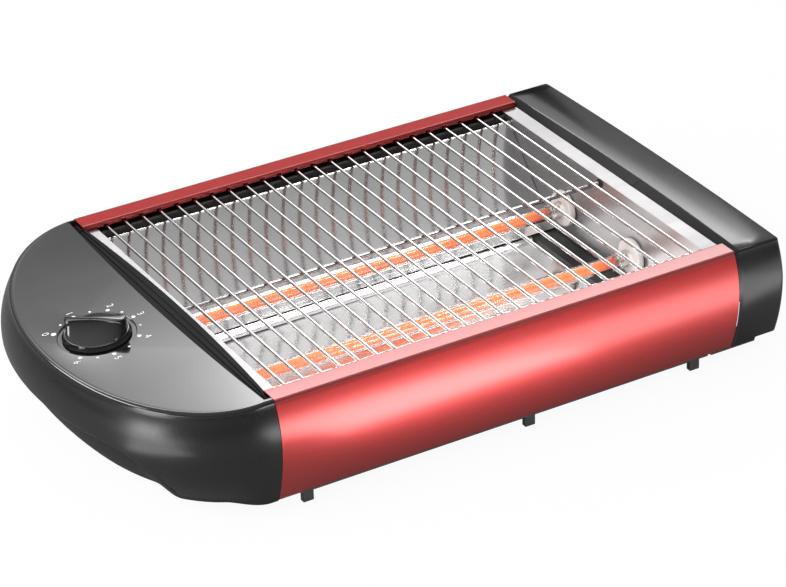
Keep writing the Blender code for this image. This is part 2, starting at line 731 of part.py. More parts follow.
def add_control_base():
    """Bottom cover: it fills the housing's open foot and reaches back to the end plate."""
    shape = bmesh.new()
    inner = []
    for station in housing_stations(-GAP):
        offset = inner_foot(station[4]) - GAP
        inner.append((station[0] + station[2] * offset, station[1] + station[3] * offset))
    back_x = LEFT_WALL_X - THIN_SHEET - GAP
    half = panel_foot_inner() - GAP
    outline = [(back_x, -half), (inner[0][0], -half)] + inner + [(inner[-1][0], half), (back_x, half)]
    cover = add_part("control_base", prism(shape, outline, "z", BODY_BOTTOM, COVER_TOP), "satin black")
    holes = bmesh.new()
    for x, y in cover_boss_places():
        prism(holes, circle(SCREW_HOLE_RADIUS, SCREW_SIDES, (x, y)), "z",
              BODY_BOTTOM - OVERRUN, COVER_TOP + OVERRUN)
    for index in range(COVER_VENT_COUNT):
        x = PLATE_EDGE_X - COVER_VENT_INSET - COVER_VENT_WIDTH / 2
        y = (index - (COVER_VENT_COUNT - 1) / 2) * COVER_VENT_PITCH
        box(holes, (x - COVER_VENT_LENGTH / 2, y - COVER_VENT_WIDTH / 2, BODY_BOTTOM - OVERRUN),
            (x + COVER_VENT_LENGTH / 2, y + COVER_VENT_WIDTH / 2, COVER_TOP + OVERRUN))
    cut(cover, holes)


def panel_foot_inner():
    """Half the span between the inner edges of the panels' foot flanges."""
    return side_half_width(BODY_BOTTOM, TOP_HEIGHT) - PANEL_FOOT_FLANGE


def add_bezel_trim():
    """Grooved strip, bowed on both edges, from the housing's plate over the left flange."""
    half = bezel_half_span() - GAP
    shoulder = LIP_HALF_SPAN - OVERRUN
    bottom = END_FLANGE_TOP + GAP
    levels = (BEZEL_EDGE_HEIGHT, BEZEL_EDGE_HEIGHT, BEZEL_GROOVE_FLOOR, BEZEL_GROOVE_FLOOR, BEZEL_RIDGE,
              BEZEL_RIDGE, BEZEL_GROOVE_FLOOR, BEZEL_GROOVE_FLOOR, BEZEL_LEDGE_HEIGHT, BEZEL_LEDGE_HEIGHT)

    def section(y, right):
        left = plate_edge(y) + GAP
        top = [(lerp(left, right, share), y, bottom + level)
               for share, level in zip(BEZEL_SECTION_SHARES, levels)]
        return [(left, y, bottom)] + top + [(right, y, bottom)]

    def ledge_edge(y):
        share = y / shoulder
        narrow = PLATE_EDGE_X + BEZEL_LEDGE + 2 * BEZEL_LEDGE_RIDGE
        return narrow + BEZEL_LEDGE_BOW * (1.0 - share * share)

    end = SEAM_X - GAP / 2
    rings = [section(-half, end), section(-shoulder - GAP, end)]
    for index in range(BEZEL_STATIONS + 1):
        y = lerp(-shoulder, shoulder, index / BEZEL_STATIONS)
        rings.append(section(y, ledge_edge(y)))
    rings += [section(shoulder + GAP, end), section(half, end)]
    add_part("bezel_trim", loft(bmesh.new(), rings), "satin black")


def cap_ring(x, inset, top_inset):
    """Cross-section of the end cap, set in from its outside by an inset."""
    side = side_path(CAP_CORNER)
    squeeze = (TOP_HEIGHT - top_inset - BODY_BOTTOM) / (TOP_HEIGHT - BODY_BOTTOM)
    right = [(y - inset, BODY_BOTTOM + (z - BODY_BOTTOM) * squeeze) for y, z in side]
    left = mirrored(right)[::-1]
    return [(x, y, z) for y, z in right + left]


def bowed(rings):
    """Loft the cap's rings and bow their far end, so that it stands out most in the middle."""
    shape = loft(bmesh.new(), rings)
    for index in range(1, CAP_BOW_STATIONS):
        y = lerp(-HALF_WIDTH, HALF_WIDTH, index / CAP_BOW_STATIONS)
        geometry = shape.verts[:] + shape.edges[:] + shape.faces[:]
        bmesh.ops.bisect_plane(shape, geom=geometry, plane_co=(0.0, y, 0.0), plane_no=(0.0, 1.0, 0.0))
    for vert in shape.verts:
        reach = max(0.0, (vert.co.x - CAP_LEFT_X) / CAP_LENGTH)
        vert.co.x -= CAP_END_BOW * reach * min(1.0, (vert.co.y / HALF_WIDTH) ** 2)
    bmesh.ops.triangulate(shape, faces=shape.faces)
    return shape


def add_end_cap():
    """Black cap at the right end: bulged like the panels, with a sloping step along its inner edge."""
    rings = [cap_ring(CAP_LEFT_X, 0.0, 0.0)]
    for index in range(CAP_END_STEPS + 1):
        turn = math.pi / 2 * index / CAP_END_STEPS
        inset = CAP_END_RADIUS * (1.0 - math.cos(turn))
        rings.append(cap_ring(RIGHT_END - CAP_END_RADIUS * (1.0 - math.sin(turn)), inset, inset))
    cap = add_part("end_cap", bowed(rings), "gloss black")

    step_rings = []
    half = HALF_WIDTH + SIDE_BULGE
    for index in range(CAP_BOW_STATIONS + 1):
        y = lerp(-half, half, index / CAP_BOW_STATIONS)
        edge = CAP_LEFT_X + CAP_STEP_LENGTH - CAP_STEP_BOW * (y / half) ** 2
        step_rings.append([(CAP_LEFT_X - OVERRUN, y, TOP_HEIGHT - CAP_STEP_DEPTH),
                           (CAP_LEFT_X, y, TOP_HEIGHT - CAP_STEP_DEPTH), (edge, y, TOP_HEIGHT),
                           (edge, y, TOP_HEIGHT + OVERRUN), (CAP_LEFT_X - OVERRUN, y, TOP_HEIGHT + OVERRUN)])
    cut(cap, loft(bmesh.new(), step_rings))

    low = BODY_BOTTOM - OVERRUN
    hollow_rings = []
    for x, ceiling_drop in ((CAP_LEFT_X - OVERRUN, CAP_STEP_DEPTH + CAP_WALL),
                            (CAP_LEFT_X + CAP_WALL / 2, CAP_STEP_DEPTH + CAP_WALL),
                            (CAP_LEFT_X + CAP_STEP_LENGTH + CAP_WALL, CAP_WALL),
                            (RIGHT_END - CAP_WALL, CAP_WALL)):
        hollow_rings.append([(px, py, low if pz == BODY_BOTTOM else pz)
                             for px, py, pz in cap_ring(x, CAP_WALL, ceiling_drop)])
    cut(cap, bowed(hollow_rings))

    bosses = bmesh.new()
    pilots = bmesh.new()
    for x, y in cap_boss_places():
        prism(bosses, circle(BOSS_RADIUS, SCREW_SIDES, (x, y)), "z",
              BODY_BOTTOM, TOP_HEIGHT - CAP_WALL + BOSS_BITE)
        prism(pilots, circle(SCREW_HOLE_RADIUS, SCREW_SIDES, (x, y)), "z",
              BODY_BOTTOM - OVERRUN, BODY_BOTTOM + PILOT_DEPTH)
    join(cap, bosses)
    half = TRAY_HALF_WIDTH + TRAY_SIDE_CLEARANCE
    box(pilots, (RIGHT_END - 2 * CAP_END_RADIUS, -half, low), (RIGHT_END + OVERRUN, half, TRAY_SLOT_TOP))
    cut(cap, pilots)
    wide = HALF_WIDTH + SIDE_BULGE
    cut(cap, box(bmesh.new(), (BASE_RIGHT_TONGUE_X + GAP, -wide, low),
                 (RIGHT_END + OVERRUN, wide, BODY_BOTTOM + CAP_FOOT_RISE)))


def end_plate_outline(notched):
    """Outline of an end plate in Y and Z: it fits inside the panels, over the tray if notched."""
    foot = BODY_BOTTOM + PANEL_SHEET + GAP
    half = panel_foot_inner() - GAP
    top = END_FLANGE_TOP - END_WEB_SIDE_DROP
    right = [(half, BODY_BOTTOM), (half, foot)]
    for index in range(SIDE_STEPS + 1):
        height = lerp(foot, top, index / SIDE_STEPS)
        right.append((side_half_width(height, TOP_HEIGHT - PANEL_CORNER) - PANEL_SHEET - 2 * GAP, height))
    outline = right + mirrored(right)[::-1]
    if notched:
        tray = TRAY_HALF_WIDTH + TRAY_SIDE_CLEARANCE
        outline += [(-tray, BODY_BOTTOM), (-tray, TRAY_SLOT_TOP), (tray, TRAY_SLOT_TOP), (tray, BODY_BOTTOM)]
    return outline


def add_end_plates():
    """Polished end walls: web with tube and rod holes, and a flange folded outwards on top."""
    plates = (("left_end_plate", LEFT_WALL_X - THIN_SHEET, LEFT_WALL_X, LEFT_WALL_X - LEFT_FLANGE,
               LEFT_WALL_X, False),
              ("right_end_plate", RIGHT_WALL_X, RIGHT_WALL_X + THIN_SHEET, RIGHT_WALL_X,
               CAP_LEFT_X - GAP, True))
    for name, web_low, web_high, flange_low, flange_high, notched in plates:
        web = prism(bmesh.new(), end_plate_outline(notched), "x", web_low, web_high)
        plate = add_part(name, web, "polished")
        flange = box(bmesh.new(), (flange_low, -END_FLANGE_HALF_SPAN, END_FLANGE_TOP - THIN_SHEET),
                     (flange_high, END_FLANGE_HALF_SPAN, END_FLANGE_TOP))
        join(plate, flange)
        holes = bmesh.new()
        for y in (-TUBE_HALF_SPAN, TUBE_HALF_SPAN):
            prism(holes, circle(CERAMIC_SPIGOT_RADIUS + GAP, ROUND_SIDES, (y, TUBE_HEIGHT)), "x",
                  web_low - OVERRUN, web_high + OVERRUN)
        prism(holes, circle(ROD_RADIUS + GAP, SCREW_SIDES, (0.0, ROD_HEIGHT)), "x",
              web_low - OVERRUN, web_high + OVERRUN)
        cut(plate, holes)


def reflector_path():
    """Section of a reflector: slope, rolled edge, gutter, wire bead and outer shelf."""
    path = []
    for index in range(REFLECTOR_STEPS + 1):
        share = index / REFLECTOR_STEPS
        sag = REFLECTOR_SAG * 4 * share * (1.0 - share)
        path.append((lerp(REFLECTOR_FOOT_HALF_SPAN, REFLECTOR_TOP_HALF_SPAN, share) + sag,
                     lerp(REFLECTOR_FOOT_HEIGHT, REFLECTOR_TOP_HEIGHT, share) - sag))
    roll = REFLECTOR_TOP_HALF_SPAN + REFLECTOR_EDGE_ROLL
    gutter = BEAD_TOP - GUTTER_DEPTH
    gutter_left = roll + REFLECTOR_EDGE_ROLL
    bead_foot = gutter_left + GUTTER_WIDTH
    bead_left = bead_foot + BEAD_SLOPE
    bead_right = bead_left + BEAD_WIDTH
    shelf_end = side_half_width(gutter, TOP_HEIGHT - PANEL_CORNER) - PANEL_SHEET - 2 * GAP
    path += [(roll, REFLECTOR_TOP_HEIGHT + REFLECTOR_EDGE_ROLL / 4), (gutter_left, gutter),
             (bead_foot, gutter), (bead_left, BEAD_TOP), (bead_right, BEAD_TOP),
             (bead_right + BEAD_SLOPE, gutter), (shelf_end, gutter)]
    return path


def add_reflectors():
    """Polished slopes on both sides of the tray; their beads carry the grill wires."""
    outline = thickened(reflector_path(), THIN_SHEET)
    low = LEFT_WALL_X + GAP
    high = RIGHT_WALL_X - GAP
    add_part("rear_reflector", prism(bmesh.new(), outline, "x", low, high), "polished")
    add_part("front_reflector", prism(bmesh.new(), mirrored(outline), "x", low, high), "polished")


def add_grill():
    """Straight wires from front to rear, and the rod that they rest on in the middle."""
    wire = prism(bmesh.new(), circle(WIRE_RADIUS, WIRE_SIDES), "y", -WIRE_HALF_LENGTH, WIRE_HALF_LENGTH)
    data = mesh_data("grill_wire", wire, "chromed wire")
    for index, x in enumerate(wire_places()):
        add_copy("grill_wire_%02d" % (index + 1), data, (x, 0.0, WIRE_HEIGHT))
    rod = prism(bmesh.new(), circle(ROD_RADIUS, SCREW_SIDES, (0.0, ROD_HEIGHT)), "x",
                LEFT_WALL_X - ROD_OVERHANG, RIGHT_WALL_X + ROD_OVERHANG)
    add_part("grill_support_rod", rod, "chromed wire")


def ceramic_profile():
    """Turned section of a tube holder; height 0 is the chamber face of the end plate."""
    boss_radius = TUBE_RADIUS + GAP + CERAMIC_BOSS_WALL
    disc_top = GAP + CERAMIC_DISC_THICKNESS
    mouth = disc_top + CERAMIC_BOSS_LENGTH
    seat = mouth - TUBE_INSERTION - GAP
    back = -THIN_SHEET - CERAMIC_SPIGOT_REACH
    hole = TAIL_RADIUS + GAP
    return [(hole, back), (CERAMIC_SPIGOT_RADIUS, back), (CERAMIC_SPIGOT_RADIUS, GAP),
            (CERAMIC_DISC_RADIUS, GAP), (CERAMIC_DISC_RADIUS, disc_top - CERAMIC_CHAMFER),
            (CERAMIC_DISC_RADIUS - CERAMIC_CHAMFER, disc_top), (boss_radius, disc_top),
            (boss_radius, mouth), (TUBE_RADIUS + GAP, mouth), (TUBE_RADIUS + GAP, seat), (hole, seat)]


def tube_end_reach():
    """Distance from an end plate's chamber face to the tube's end inside its holder."""
    return GAP + CERAMIC_DISC_THICKNESS + CERAMIC_BOSS_LENGTH - TUBE_INSERTION


def add_heaters():
    """Two quartz tubes, each with its winding and a ceramic holder at each end plate."""
    holder = mesh_data("ceramic_holder", turned(bmesh.new(), ceramic_profile(), ROUND_SIDES), "ceramic")
    reach = tube_end_reach()
    centre_x = (LEFT_WALL_X + RIGHT_WALL_X) / 2
    half_tube = CHAMBER_LENGTH / 2 - reach
    half_coil = half_tube - COIL_END_GAP
    half_tail = CHAMBER_LENGTH / 2 + TAIL_REACH
    for side, y in (("front", -TUBE_HALF_SPAN), ("rear", TUBE_HALF_SPAN)):
        lying = (0.0, math.pi / 2, 0.0)
        add_copy(side + "_left_ceramic", holder, (LEFT_WALL_X, y, TUBE_HEIGHT), lying)
        add_copy(side + "_right_ceramic", holder, (RIGHT_WALL_X, y, TUBE_HEIGHT), (0.0, -math.pi / 2, 0.0))
        bore = TUBE_RADIUS - TUBE_WALL
        ring = [(bore, -half_tube), (TUBE_RADIUS, -half_tube), (TUBE_RADIUS, half_tube), (bore, half_tube)]
        tube = add_part(side + "_quartz_tube", turned(bmesh.new(), ring, ROUND_SIDES), "quartz")
        levels = ((TAIL_RADIUS, -half_tail), (TAIL_RADIUS, -half_coil), (COIL_RADIUS, -half_coil),
                  (COIL_RADIUS, half_coil), (TAIL_RADIUS, half_coil), (TAIL_RADIUS, half_tail))
        winding = stepped_rod(bmesh.new(), levels, SCREW_SIDES)
        coil = add_part(side + "_heating_coil", winding, "glowing winding")
        for part in (tube, coil):
            part.location = (centre_x, y, TUBE_HEIGHT)
            part.rotation_euler = lying


def add_crumb_tray():
    """Open sheet tray and its black pull, which slide out together under the right end plate."""
    slide = add_empty("crumb_tray_slide", (LEFT_WALL_X + TRAY_LEFT_INSET, 0.0, BODY_BOTTOM))
    tray = box(bmesh.new(), (0.0, -TRAY_HALF_WIDTH, 0.0), (TRAY_LENGTH, TRAY_HALF_WIDTH, TRAY_RIM_HEIGHT))
    tray = add_part("crumb_tray", tray, "polished", slide)
    inner = TRAY_HALF_WIDTH - THIN_SHEET
    cut(tray, box(bmesh.new(), (THIN_SHEET, -inner, THIN_SHEET),
                  (TRAY_LENGTH + OVERRUN, inner, TRAY_RIM_HEIGHT + OVERRUN)), slide)
    end = RIGHT_END - PULL_LIP_RECESS - slide.location.x
    start = TRAY_LENGTH + GAP
    pull = box(bmesh.new(), (start, -TRAY_HALF_WIDTH, 0.0), (end, TRAY_HALF_WIDTH, TRAY_RIM_HEIGHT))
    pull = add_part("crumb_tray_pull", pull, "satin black", slide)
    join(pull, box(bmesh.new(), (end - PULL_LIP_THICKNESS, -PULL_LIP_HALF_WIDTH, -PULL_LIP_DROP),
                   (end, PULL_LIP_HALF_WIDTH, TRAY_RIM_HEIGHT / 2)), slide)


def add_base_plate():
    """Dark sheet under the body, with a turned-down rim and a tongue towards each end."""
    half = BASE_HALF_WIDTH
    left = BASE_TONGUE_HALF_WIDTH
    right = BASE_RIGHT_TONGUE_HALF_WIDTH
    outline = [(PANEL_LEFT_X, -left), (BASE_LEFT_X, -left), (BASE_LEFT_X, -half), (BASE_RIGHT_X, -half),
               (BASE_RIGHT_X, -right), (BASE_RIGHT_TONGUE_X, -right), (BASE_RIGHT_TONGUE_X, right),
               (BASE_RIGHT_X, right), (BASE_RIGHT_X, half), (BASE_LEFT_X, half), (BASE_LEFT_X, left),
               (PANEL_LEFT_X, left)]
    base = add_part("base_plate", prism(bmesh.new(), outline, "z", BASE_WEB_BOTTOM, BASE_TOP), "dark sheet")
    rim = bmesh.new()
    rim_low = BASE_TOP - BASE_RIM_HEIGHT
    for sign in (-1, 1):
        edges = sorted((sign * half, sign * (half - BASE_SHEET)))
        box(rim, (BASE_LEFT_X, edges[0], rim_low), (BASE_RIGHT_X, edges[1], BASE_TOP - BASE_SHEET / 2))
    join(base, rim)
    holes = bmesh.new()
    for x, y in base_screw_places() + cap_boss_places():
        prism(holes, circle(SCREW_HOLE_RADIUS, SCREW_SIDES, (x, y)), "z",
              BASE_WEB_BOTTOM - OVERRUN, BASE_TOP + OVERRUN)
    middle = (BASE_LEFT_X + BASE_RIGHT_X) / 2
    for index in range(BASE_VENT_COUNT):
        x = middle + (index - (BASE_VENT_COUNT - 1) / 2) * BASE_VENT_PITCH
        box(holes, (x - BASE_VENT_WIDTH / 2, -BASE_VENT_LENGTH / 2, BASE_WEB_BOTTOM - OVERRUN),
            (x + BASE_VENT_WIDTH / 2, BASE_VENT_LENGTH / 2, BASE_TOP + OVERRUN))
    cut(base, holes)


def add_feet():
    """Six posts under the base plate, inside its rims."""
    half = FOOT_WIDTH / 2
    rings = []
    for inset, height in ((FOOT_TAPER, 0.0), (0.0, FOOT_TAPER), (0.0, BASE_WEB_BOTTOM - GAP)):
        x, y = half - inset, FOOT_DEPTH / 2 - inset
        rings.append([(-x, -y, height), (x, -y, height), (x, y, height), (-x, y, height)])
    data = mesh_data("foot", loft(bmesh.new(), rings), "dark rubber")
    y = BASE_HALF_WIDTH - BASE_SHEET - GAP - FOOT_DEPTH / 2
    number = 0
    for sign in (-1, 1):
        for share in FOOT_PLACE_SHARES:
            number += 1
            add_copy("foot_%d" % number, data, (lerp(BASE_LEFT_X, BASE_RIGHT_X, share), sign * y, 0.0))


def d_outline(radius, flat):
    """A circle cut off by a flat on its +X side."""
    return [(min(x, flat), y) for x, y in circle(radius, ROUND_SIDES)]


def knob_fin(angle):
    """Plan of the ridge's top: narrow from its tip at angle 0, then widening to a blunt tail."""
    x = lerp(-KNOB_FIN_TAIL, KNOB_FIN_TIP, (1.0 + math.cos(angle)) / 2)
    tail_share = max(0.0, (KNOB_NECK_X - x) / (KNOB_NECK_X + KNOB_FIN_TAIL))
    half_width = lerp(KNOB_TIP_HALF_WIDTH, KNOB_TAIL_HALF_WIDTH, tail_share * tail_share)
    return x, math.copysign(half_width * abs(math.sin(angle)) ** KNOB_FIN_BLUNT, math.sin(angle))


def add_knob_and_shaft(axis):
    """Pointer knob scooped on both sides of its ridge, hollow below, on a shaft with a flat."""
    turns = [2 * math.pi * (index + 1 / 2) / KNOB_SIDES for index in range(KNOB_SIDES)]
    rings = []
    for radius, height in ((KNOB_RADIUS - KNOB_ROUND, KNOB_LIFT), (KNOB_RADIUS, KNOB_LIFT + KNOB_ROUND),
                           (KNOB_RIM_RADIUS, KNOB_RIM_HEIGHT - KNOB_ROUND),
                           (KNOB_RIM_RADIUS - KNOB_ROUND, KNOB_RIM_HEIGHT)):
        rings.append([(radius * math.cos(a), radius * math.sin(a), height) for a in turns])
    deck = KNOB_RIM_RADIUS - 2 * KNOB_ROUND
    for share in KNOB_SCOOP_SHARES:
        blend = 1.0 - (1.0 - share) ** KNOB_SCOOP_POWER
        height = lerp(KNOB_RIM_HEIGHT, KNOB_RIDGE_HEIGHT, share)
        ring = []
        for a in turns:
            fin_x, fin_y = knob_fin(a)
            ring.append((lerp(deck * math.cos(a), fin_x, blend), lerp(deck * math.sin(a), fin_y, blend), height))
        rings.append(ring)
    shrink = 1.0 - KNOB_ROUND / KNOB_FIN_TIP
    rings.append([(x * shrink, y * shrink, KNOB_RIDGE_HEIGHT) for x, y in (knob_fin(a) for a in turns)])
    knob = add_part("timer_knob", loft(bmesh.new(), rings), "gloss black", axis)
    ring = [(KNOB_HUB_RADIUS, KNOB_LIFT - OVERRUN), (KNOB_HOLLOW_RADIUS, KNOB_LIFT - OVERRUN),
            (KNOB_HOLLOW_RADIUS, KNOB_HOLLOW_HEIGHT), (KNOB_HUB_RADIUS, KNOB_HOLLOW_HEIGHT)]
    cut(knob, turned(bmesh.new(), ring, KNOB_SIDES), axis)
    cut(knob, prism(bmesh.new(), d_outline(SHAFT_RADIUS + GAP, SHAFT_FLAT + GAP), "z",
                    KNOB_LIFT - OVERRUN, SHAFT_RISE + GAP), axis)

    foot = timer_top() - SHAFT_SEAT_DEPTH + GAP
    shoulder = KNOB_LIFT - GAP
    rings = []
    for outline, height in ((circle(SHAFT_RADIUS, ROUND_SIDES), foot),
                            (circle(SHAFT_RADIUS, ROUND_SIDES), shoulder),
                            (d_outline(SHAFT_RADIUS, SHAFT_FLAT), shoulder + GAP),
                            (d_outline(SHAFT_RADIUS, SHAFT_FLAT), SHAFT_RISE)):
        rings.append([(x, y, height) for x, y in outline])
    add_part("timer_shaft", loft(bmesh.new(), rings), "zinc plated", axis)


def timer_top():
    """Height of the timer's top face in the well's frame."""
    return WELL_DEPTH - PLATE_WALL - GAP


def rounded_square(width, corner):
    """A square outline with rounded corners."""
    reach = width / 2 - corner
    points = []
    for quarter in range(4):
        centre_turn = math.pi / 4 + quarter * math.pi / 2
        centre = (math.copysign(reach, math.cos(centre_turn)), math.copysign(reach, math.sin(centre_turn)))
        for step in range(4):
            turn = quarter * math.pi / 2 + step * math.pi / 6
            points.append((centre[0] + corner * math.cos(turn), centre[1] + corner * math.sin(turn)))
    return points


def add_timer_body(dial_well):
    """Clockwork timer under the plate: a square case with a smaller gear case below it."""
    top = timer_top()
    levels = ((TIMER_WIDTH, top), (TIMER_WIDTH, top - TIMER_DEPTH), (TIMER_CASE_WIDTH, top - TIMER_DEPTH),
              (TIMER_CASE_WIDTH, top - TIMER_DEPTH - TIMER_CASE_DEPTH))
    rings = [[(x, y, height) for x, y in rounded_square(width, TIMER_CORNER)] for width, height in levels]
    timer = add_part("timer_body", loft(bmesh.new(), rings), "white plastic", dial_well)
    bores = prism(bmesh.new(), circle(SHAFT_RADIUS + GAP, ROUND_SIDES), "z", top - SHAFT_SEAT_DEPTH, top + OVERRUN)
    for place in timer_screw_places():
        prism(bores, circle(SCREW_HOLE_RADIUS, SCREW_SIDES, place), "z",
              top - TIMER_PILOT_DEPTH, top + OVERRUN)
    cut(timer, bores, dial_well)


def add_cord_bushing(outlet):
    """Bushing for the mains cord in the rear wall of the control housing."""
    inner_flange = BUSHING_INNER_SPAN + BUSHING_FLANGE_THICKNESS
    outer_flange = BUSHING_OUTER_SPAN - BUSHING_FLANGE_THICKNESS
    profile = [(BUSHING_BORE_RADIUS, BUSHING_INNER_SPAN), (BUSHING_HOOK_RADIUS, BUSHING_INNER_SPAN),
               (BUSHING_HOOK_RADIUS, inner_flange), (BUSHING_NECK_RADIUS, inner_flange),
               (BUSHING_NECK_RADIUS, outer_flange), (BUSHING_FLANGE_RADIUS, outer_flange),
               (BUSHING_FLANGE_RADIUS, BUSHING_OUTER_SPAN), (BUSHING_BORE_RADIUS, BUSHING_OUTER_SPAN)]
    add_part("cord_bushing", turned(bmesh.new(), profile, ROUND_SIDES), "dark rubber", outlet)


def block_centre():
    """Plan place of the terminal block."""
    return PLATE_EDGE_X - BLOCK_INSET, BLOCK_Y


def add_terminal_block():
    """Mains terminal block on the bottom cover, with a screw well for each pole."""
    x, y = block_centre()
    low = COVER_TOP + GAP
    block = add_part("terminal_block", box(bmesh.new(), (x - BLOCK_WIDTH / 2, y - BLOCK_LENGTH / 2, low),
                                           (x + BLOCK_WIDTH / 2, y + BLOCK_LENGTH / 2, low + BLOCK_HEIGHT)),
                     "white plastic")
    wells = bmesh.new()
    pitch = BLOCK_LENGTH / BLOCK_POLES
    for index in range(BLOCK_POLES):
        centre = (x, y + (index - (BLOCK_POLES - 1) / 2) * pitch)
        prism(wells, circle(BLOCK_WELL_RADIUS, SCREW_SIDES, centre), "z",
              low + BLOCK_HEIGHT - BLOCK_WELL_DEPTH, low + BLOCK_HEIGHT + OVERRUN)
    cut(block, wells)


def lead_points(start, leave, end, arrive):
    """Points of a lead: a straight start and end, and one cubic curve between them."""
    first = Vector(start) + Vector(leave).normalized() * LEAD_STRAIGHT
    last = Vector(end) + Vector(arrive).normalized() * LEAD_STRAIGHT
    corners = (first, first + Vector(leave), last + Vector(arrive), last)
    points = [Vector(start)]
    for index in range(LEAD_STEPS + 1):
        share = index / LEAD_STEPS
        rest = 1.0 - share
        weights = (rest ** 3, 3 * rest * rest * share, 3 * rest * share * share, share ** 3)
        points.append(sum((corner * weight for corner, weight in zip(corners, weights)), Vector()))
    points.append(Vector(end))
    return points


def add_lead(name, start, leave, end, arrive):
    """One insulated lead as a round tube along its route."""
    curve = bpy.data.curves.new(name, "CURVE")
    curve.dimensions = "3D"
    curve.bevel_depth = LEAD_RADIUS
    curve.bevel_resolution = 1
    curve.use_fill_caps = True
    points = lead_points(start, leave, end, arrive)
    spline = curve.splines.new("POLY")
    spline.points.add(len(points) - 1)
    for slot, point in zip(spline.points, points):
        slot.co = (*point, 1.0)
    curve.materials.append(finish_material(name, "lead sleeve"))
    bpy.context.collection.objects.link(bpy.data.objects.new(name, curve))


def add_leads():
    """Leads from the timer to the front tube, across to the rear tube, and from there to the block."""
    left = LEFT_WALL_X - TAIL_REACH - GAP
    right = RIGHT_WALL_X + TAIL_REACH + GAP
    block_x, block_y = block_centre()
    block_end = (block_x, block_y - BLOCK_LENGTH / 2 - GAP, COVER_TOP + BLOCK_HEIGHT / 2)
    timer_end = (DIAL_X + TIMER_WIDTH / 2 + LEAD_SEAT_GAP, DIAL_Y - TIMER_CORNER,
                 PLATE_AT_DIAL - PLATE_WALL - TIMER_DEPTH / 2)
    add_lead("front_tube_lead", (left, -TUBE_HALF_SPAN, TUBE_HEIGHT), (-LEAD_BOW, 0, 0),
             timer_end, (LEAD_BOW, 0, 0))
    add_lead("rear_tube_lead", (left, TUBE_HALF_SPAN, TUBE_HEIGHT), (-LEAD_BOW, 0, 0),
             block_end, (0, -LEAD_BOW, 0))
    add_lead("tube_link_lead", (right, -TUBE_HALF_SPAN, TUBE_HEIGHT), (LEAD_BOW, 0, 0),
             (right, TUBE_HALF_SPAN, TUBE_HEIGHT), (LEAD_BOW, 0, 0))


def build():
    """Make the whole toaster."""
    clear_scene()
    tilt = (0.0, -PLATE_TILT, 0.0)
    dial = add_empty("dial_seat", (DIAL_X, DIAL_Y, PLATE_AT_DIAL), tilt)
    well = add_empty("dial_well", (0.0, 0.0, -WELL_DEPTH), parent=dial)
    axis = add_empty("timer_axis", (0.0, 0.0, 0.0), (0.0, 0.0, STOP_ANGLE), well)
    outlet = add_empty("cord_outlet", (PLATE_EDGE_X - BUSHING_INSET, 0.0, BUSHING_HEIGHT),
                       (-math.pi / 2, 0.0, 0.0))
    add_control_housing(dial, outlet)
    add_control_base()
    add_bezel_trim()
    add_side_panels()
    add_end_cap()
    add_end_plates()
    add_reflectors()
    add_grill()
    add_heaters()
    add_crumb_tray()
    add_base_plate()
    add_feet()
    add_knob_and_shaft(axis)
    add_timer_body(well)
    add_cord_bushing(outlet)
    add_terminal_block()
    add_leads()


build()
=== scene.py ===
# %% [markdown]
# # A flat toaster with a wire grill
#
# The real object is a low sheet metal body with a wire grill on top, two quartz tubes glowing under it,
# a moulded control housing at one end and a moulded cap at the other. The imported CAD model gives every
# size, so this lesson only adds what a quick solid lacks: smooth skins, rolled edges, windings, printing
# and finishes. We load the frame first, because each later piece is placed by its boxes.

# %% Load the frame
import math

import bmesh
import bpy
from mathutils import Matrix, Vector


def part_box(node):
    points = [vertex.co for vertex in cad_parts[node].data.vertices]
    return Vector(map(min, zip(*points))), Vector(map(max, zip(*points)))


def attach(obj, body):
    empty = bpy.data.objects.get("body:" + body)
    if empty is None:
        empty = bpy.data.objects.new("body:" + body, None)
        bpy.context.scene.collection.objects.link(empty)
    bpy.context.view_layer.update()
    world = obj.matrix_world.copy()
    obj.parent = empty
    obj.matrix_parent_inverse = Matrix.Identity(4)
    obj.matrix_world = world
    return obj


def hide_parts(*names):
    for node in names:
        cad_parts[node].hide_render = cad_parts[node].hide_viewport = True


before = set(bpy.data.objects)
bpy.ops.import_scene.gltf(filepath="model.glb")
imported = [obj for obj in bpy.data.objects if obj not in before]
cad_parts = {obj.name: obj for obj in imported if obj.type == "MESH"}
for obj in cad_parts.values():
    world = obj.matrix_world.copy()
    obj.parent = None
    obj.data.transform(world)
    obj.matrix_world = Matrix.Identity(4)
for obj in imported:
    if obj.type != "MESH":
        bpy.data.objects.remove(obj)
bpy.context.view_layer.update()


def box_centre(name):
    """Middle of a CAD node's box."""
    low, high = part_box(name)
    return (low + high) / 2


print("nodes in the frame:", len(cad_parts))

# %% [markdown]
# ## The camera
#
# A product picture like this is taken from some way off with a long lens, so that the toaster's long edges
# stay nearly parallel. The lens and the place below come from solving the perspective of those edges. A
# matrix built from three directions says exactly where the camera looks, which a tracking constraint would
# hide from the reader.

# %% Camera
CAMERA_PLACE = Vector((-0.734615, -1.313390, 0.888185))
CAMERA_YAW = math.radians(-29.8306)
CAMERA_PITCH = math.radians(29.4459)
CAMERA_ROLL = math.radians(-1.65757)

forward = Vector((0.0, math.cos(CAMERA_PITCH), -math.sin(CAMERA_PITCH)))
level = Vector((1.0, 0.0, 0.0))
upward = level.cross(forward)
right = math.cos(CAMERA_ROLL) * level + math.sin(CAMERA_ROLL) * upward
upward = -math.sin(CAMERA_ROLL) * level + math.cos(CAMERA_ROLL) * upward
turn = Matrix.Rotation(CAMERA_YAW, 3, "Z")
facing = Matrix((turn @ right, turn @ upward, turn @ -forward)).transposed().to_4x4()
facing.translation = CAMERA_PLACE

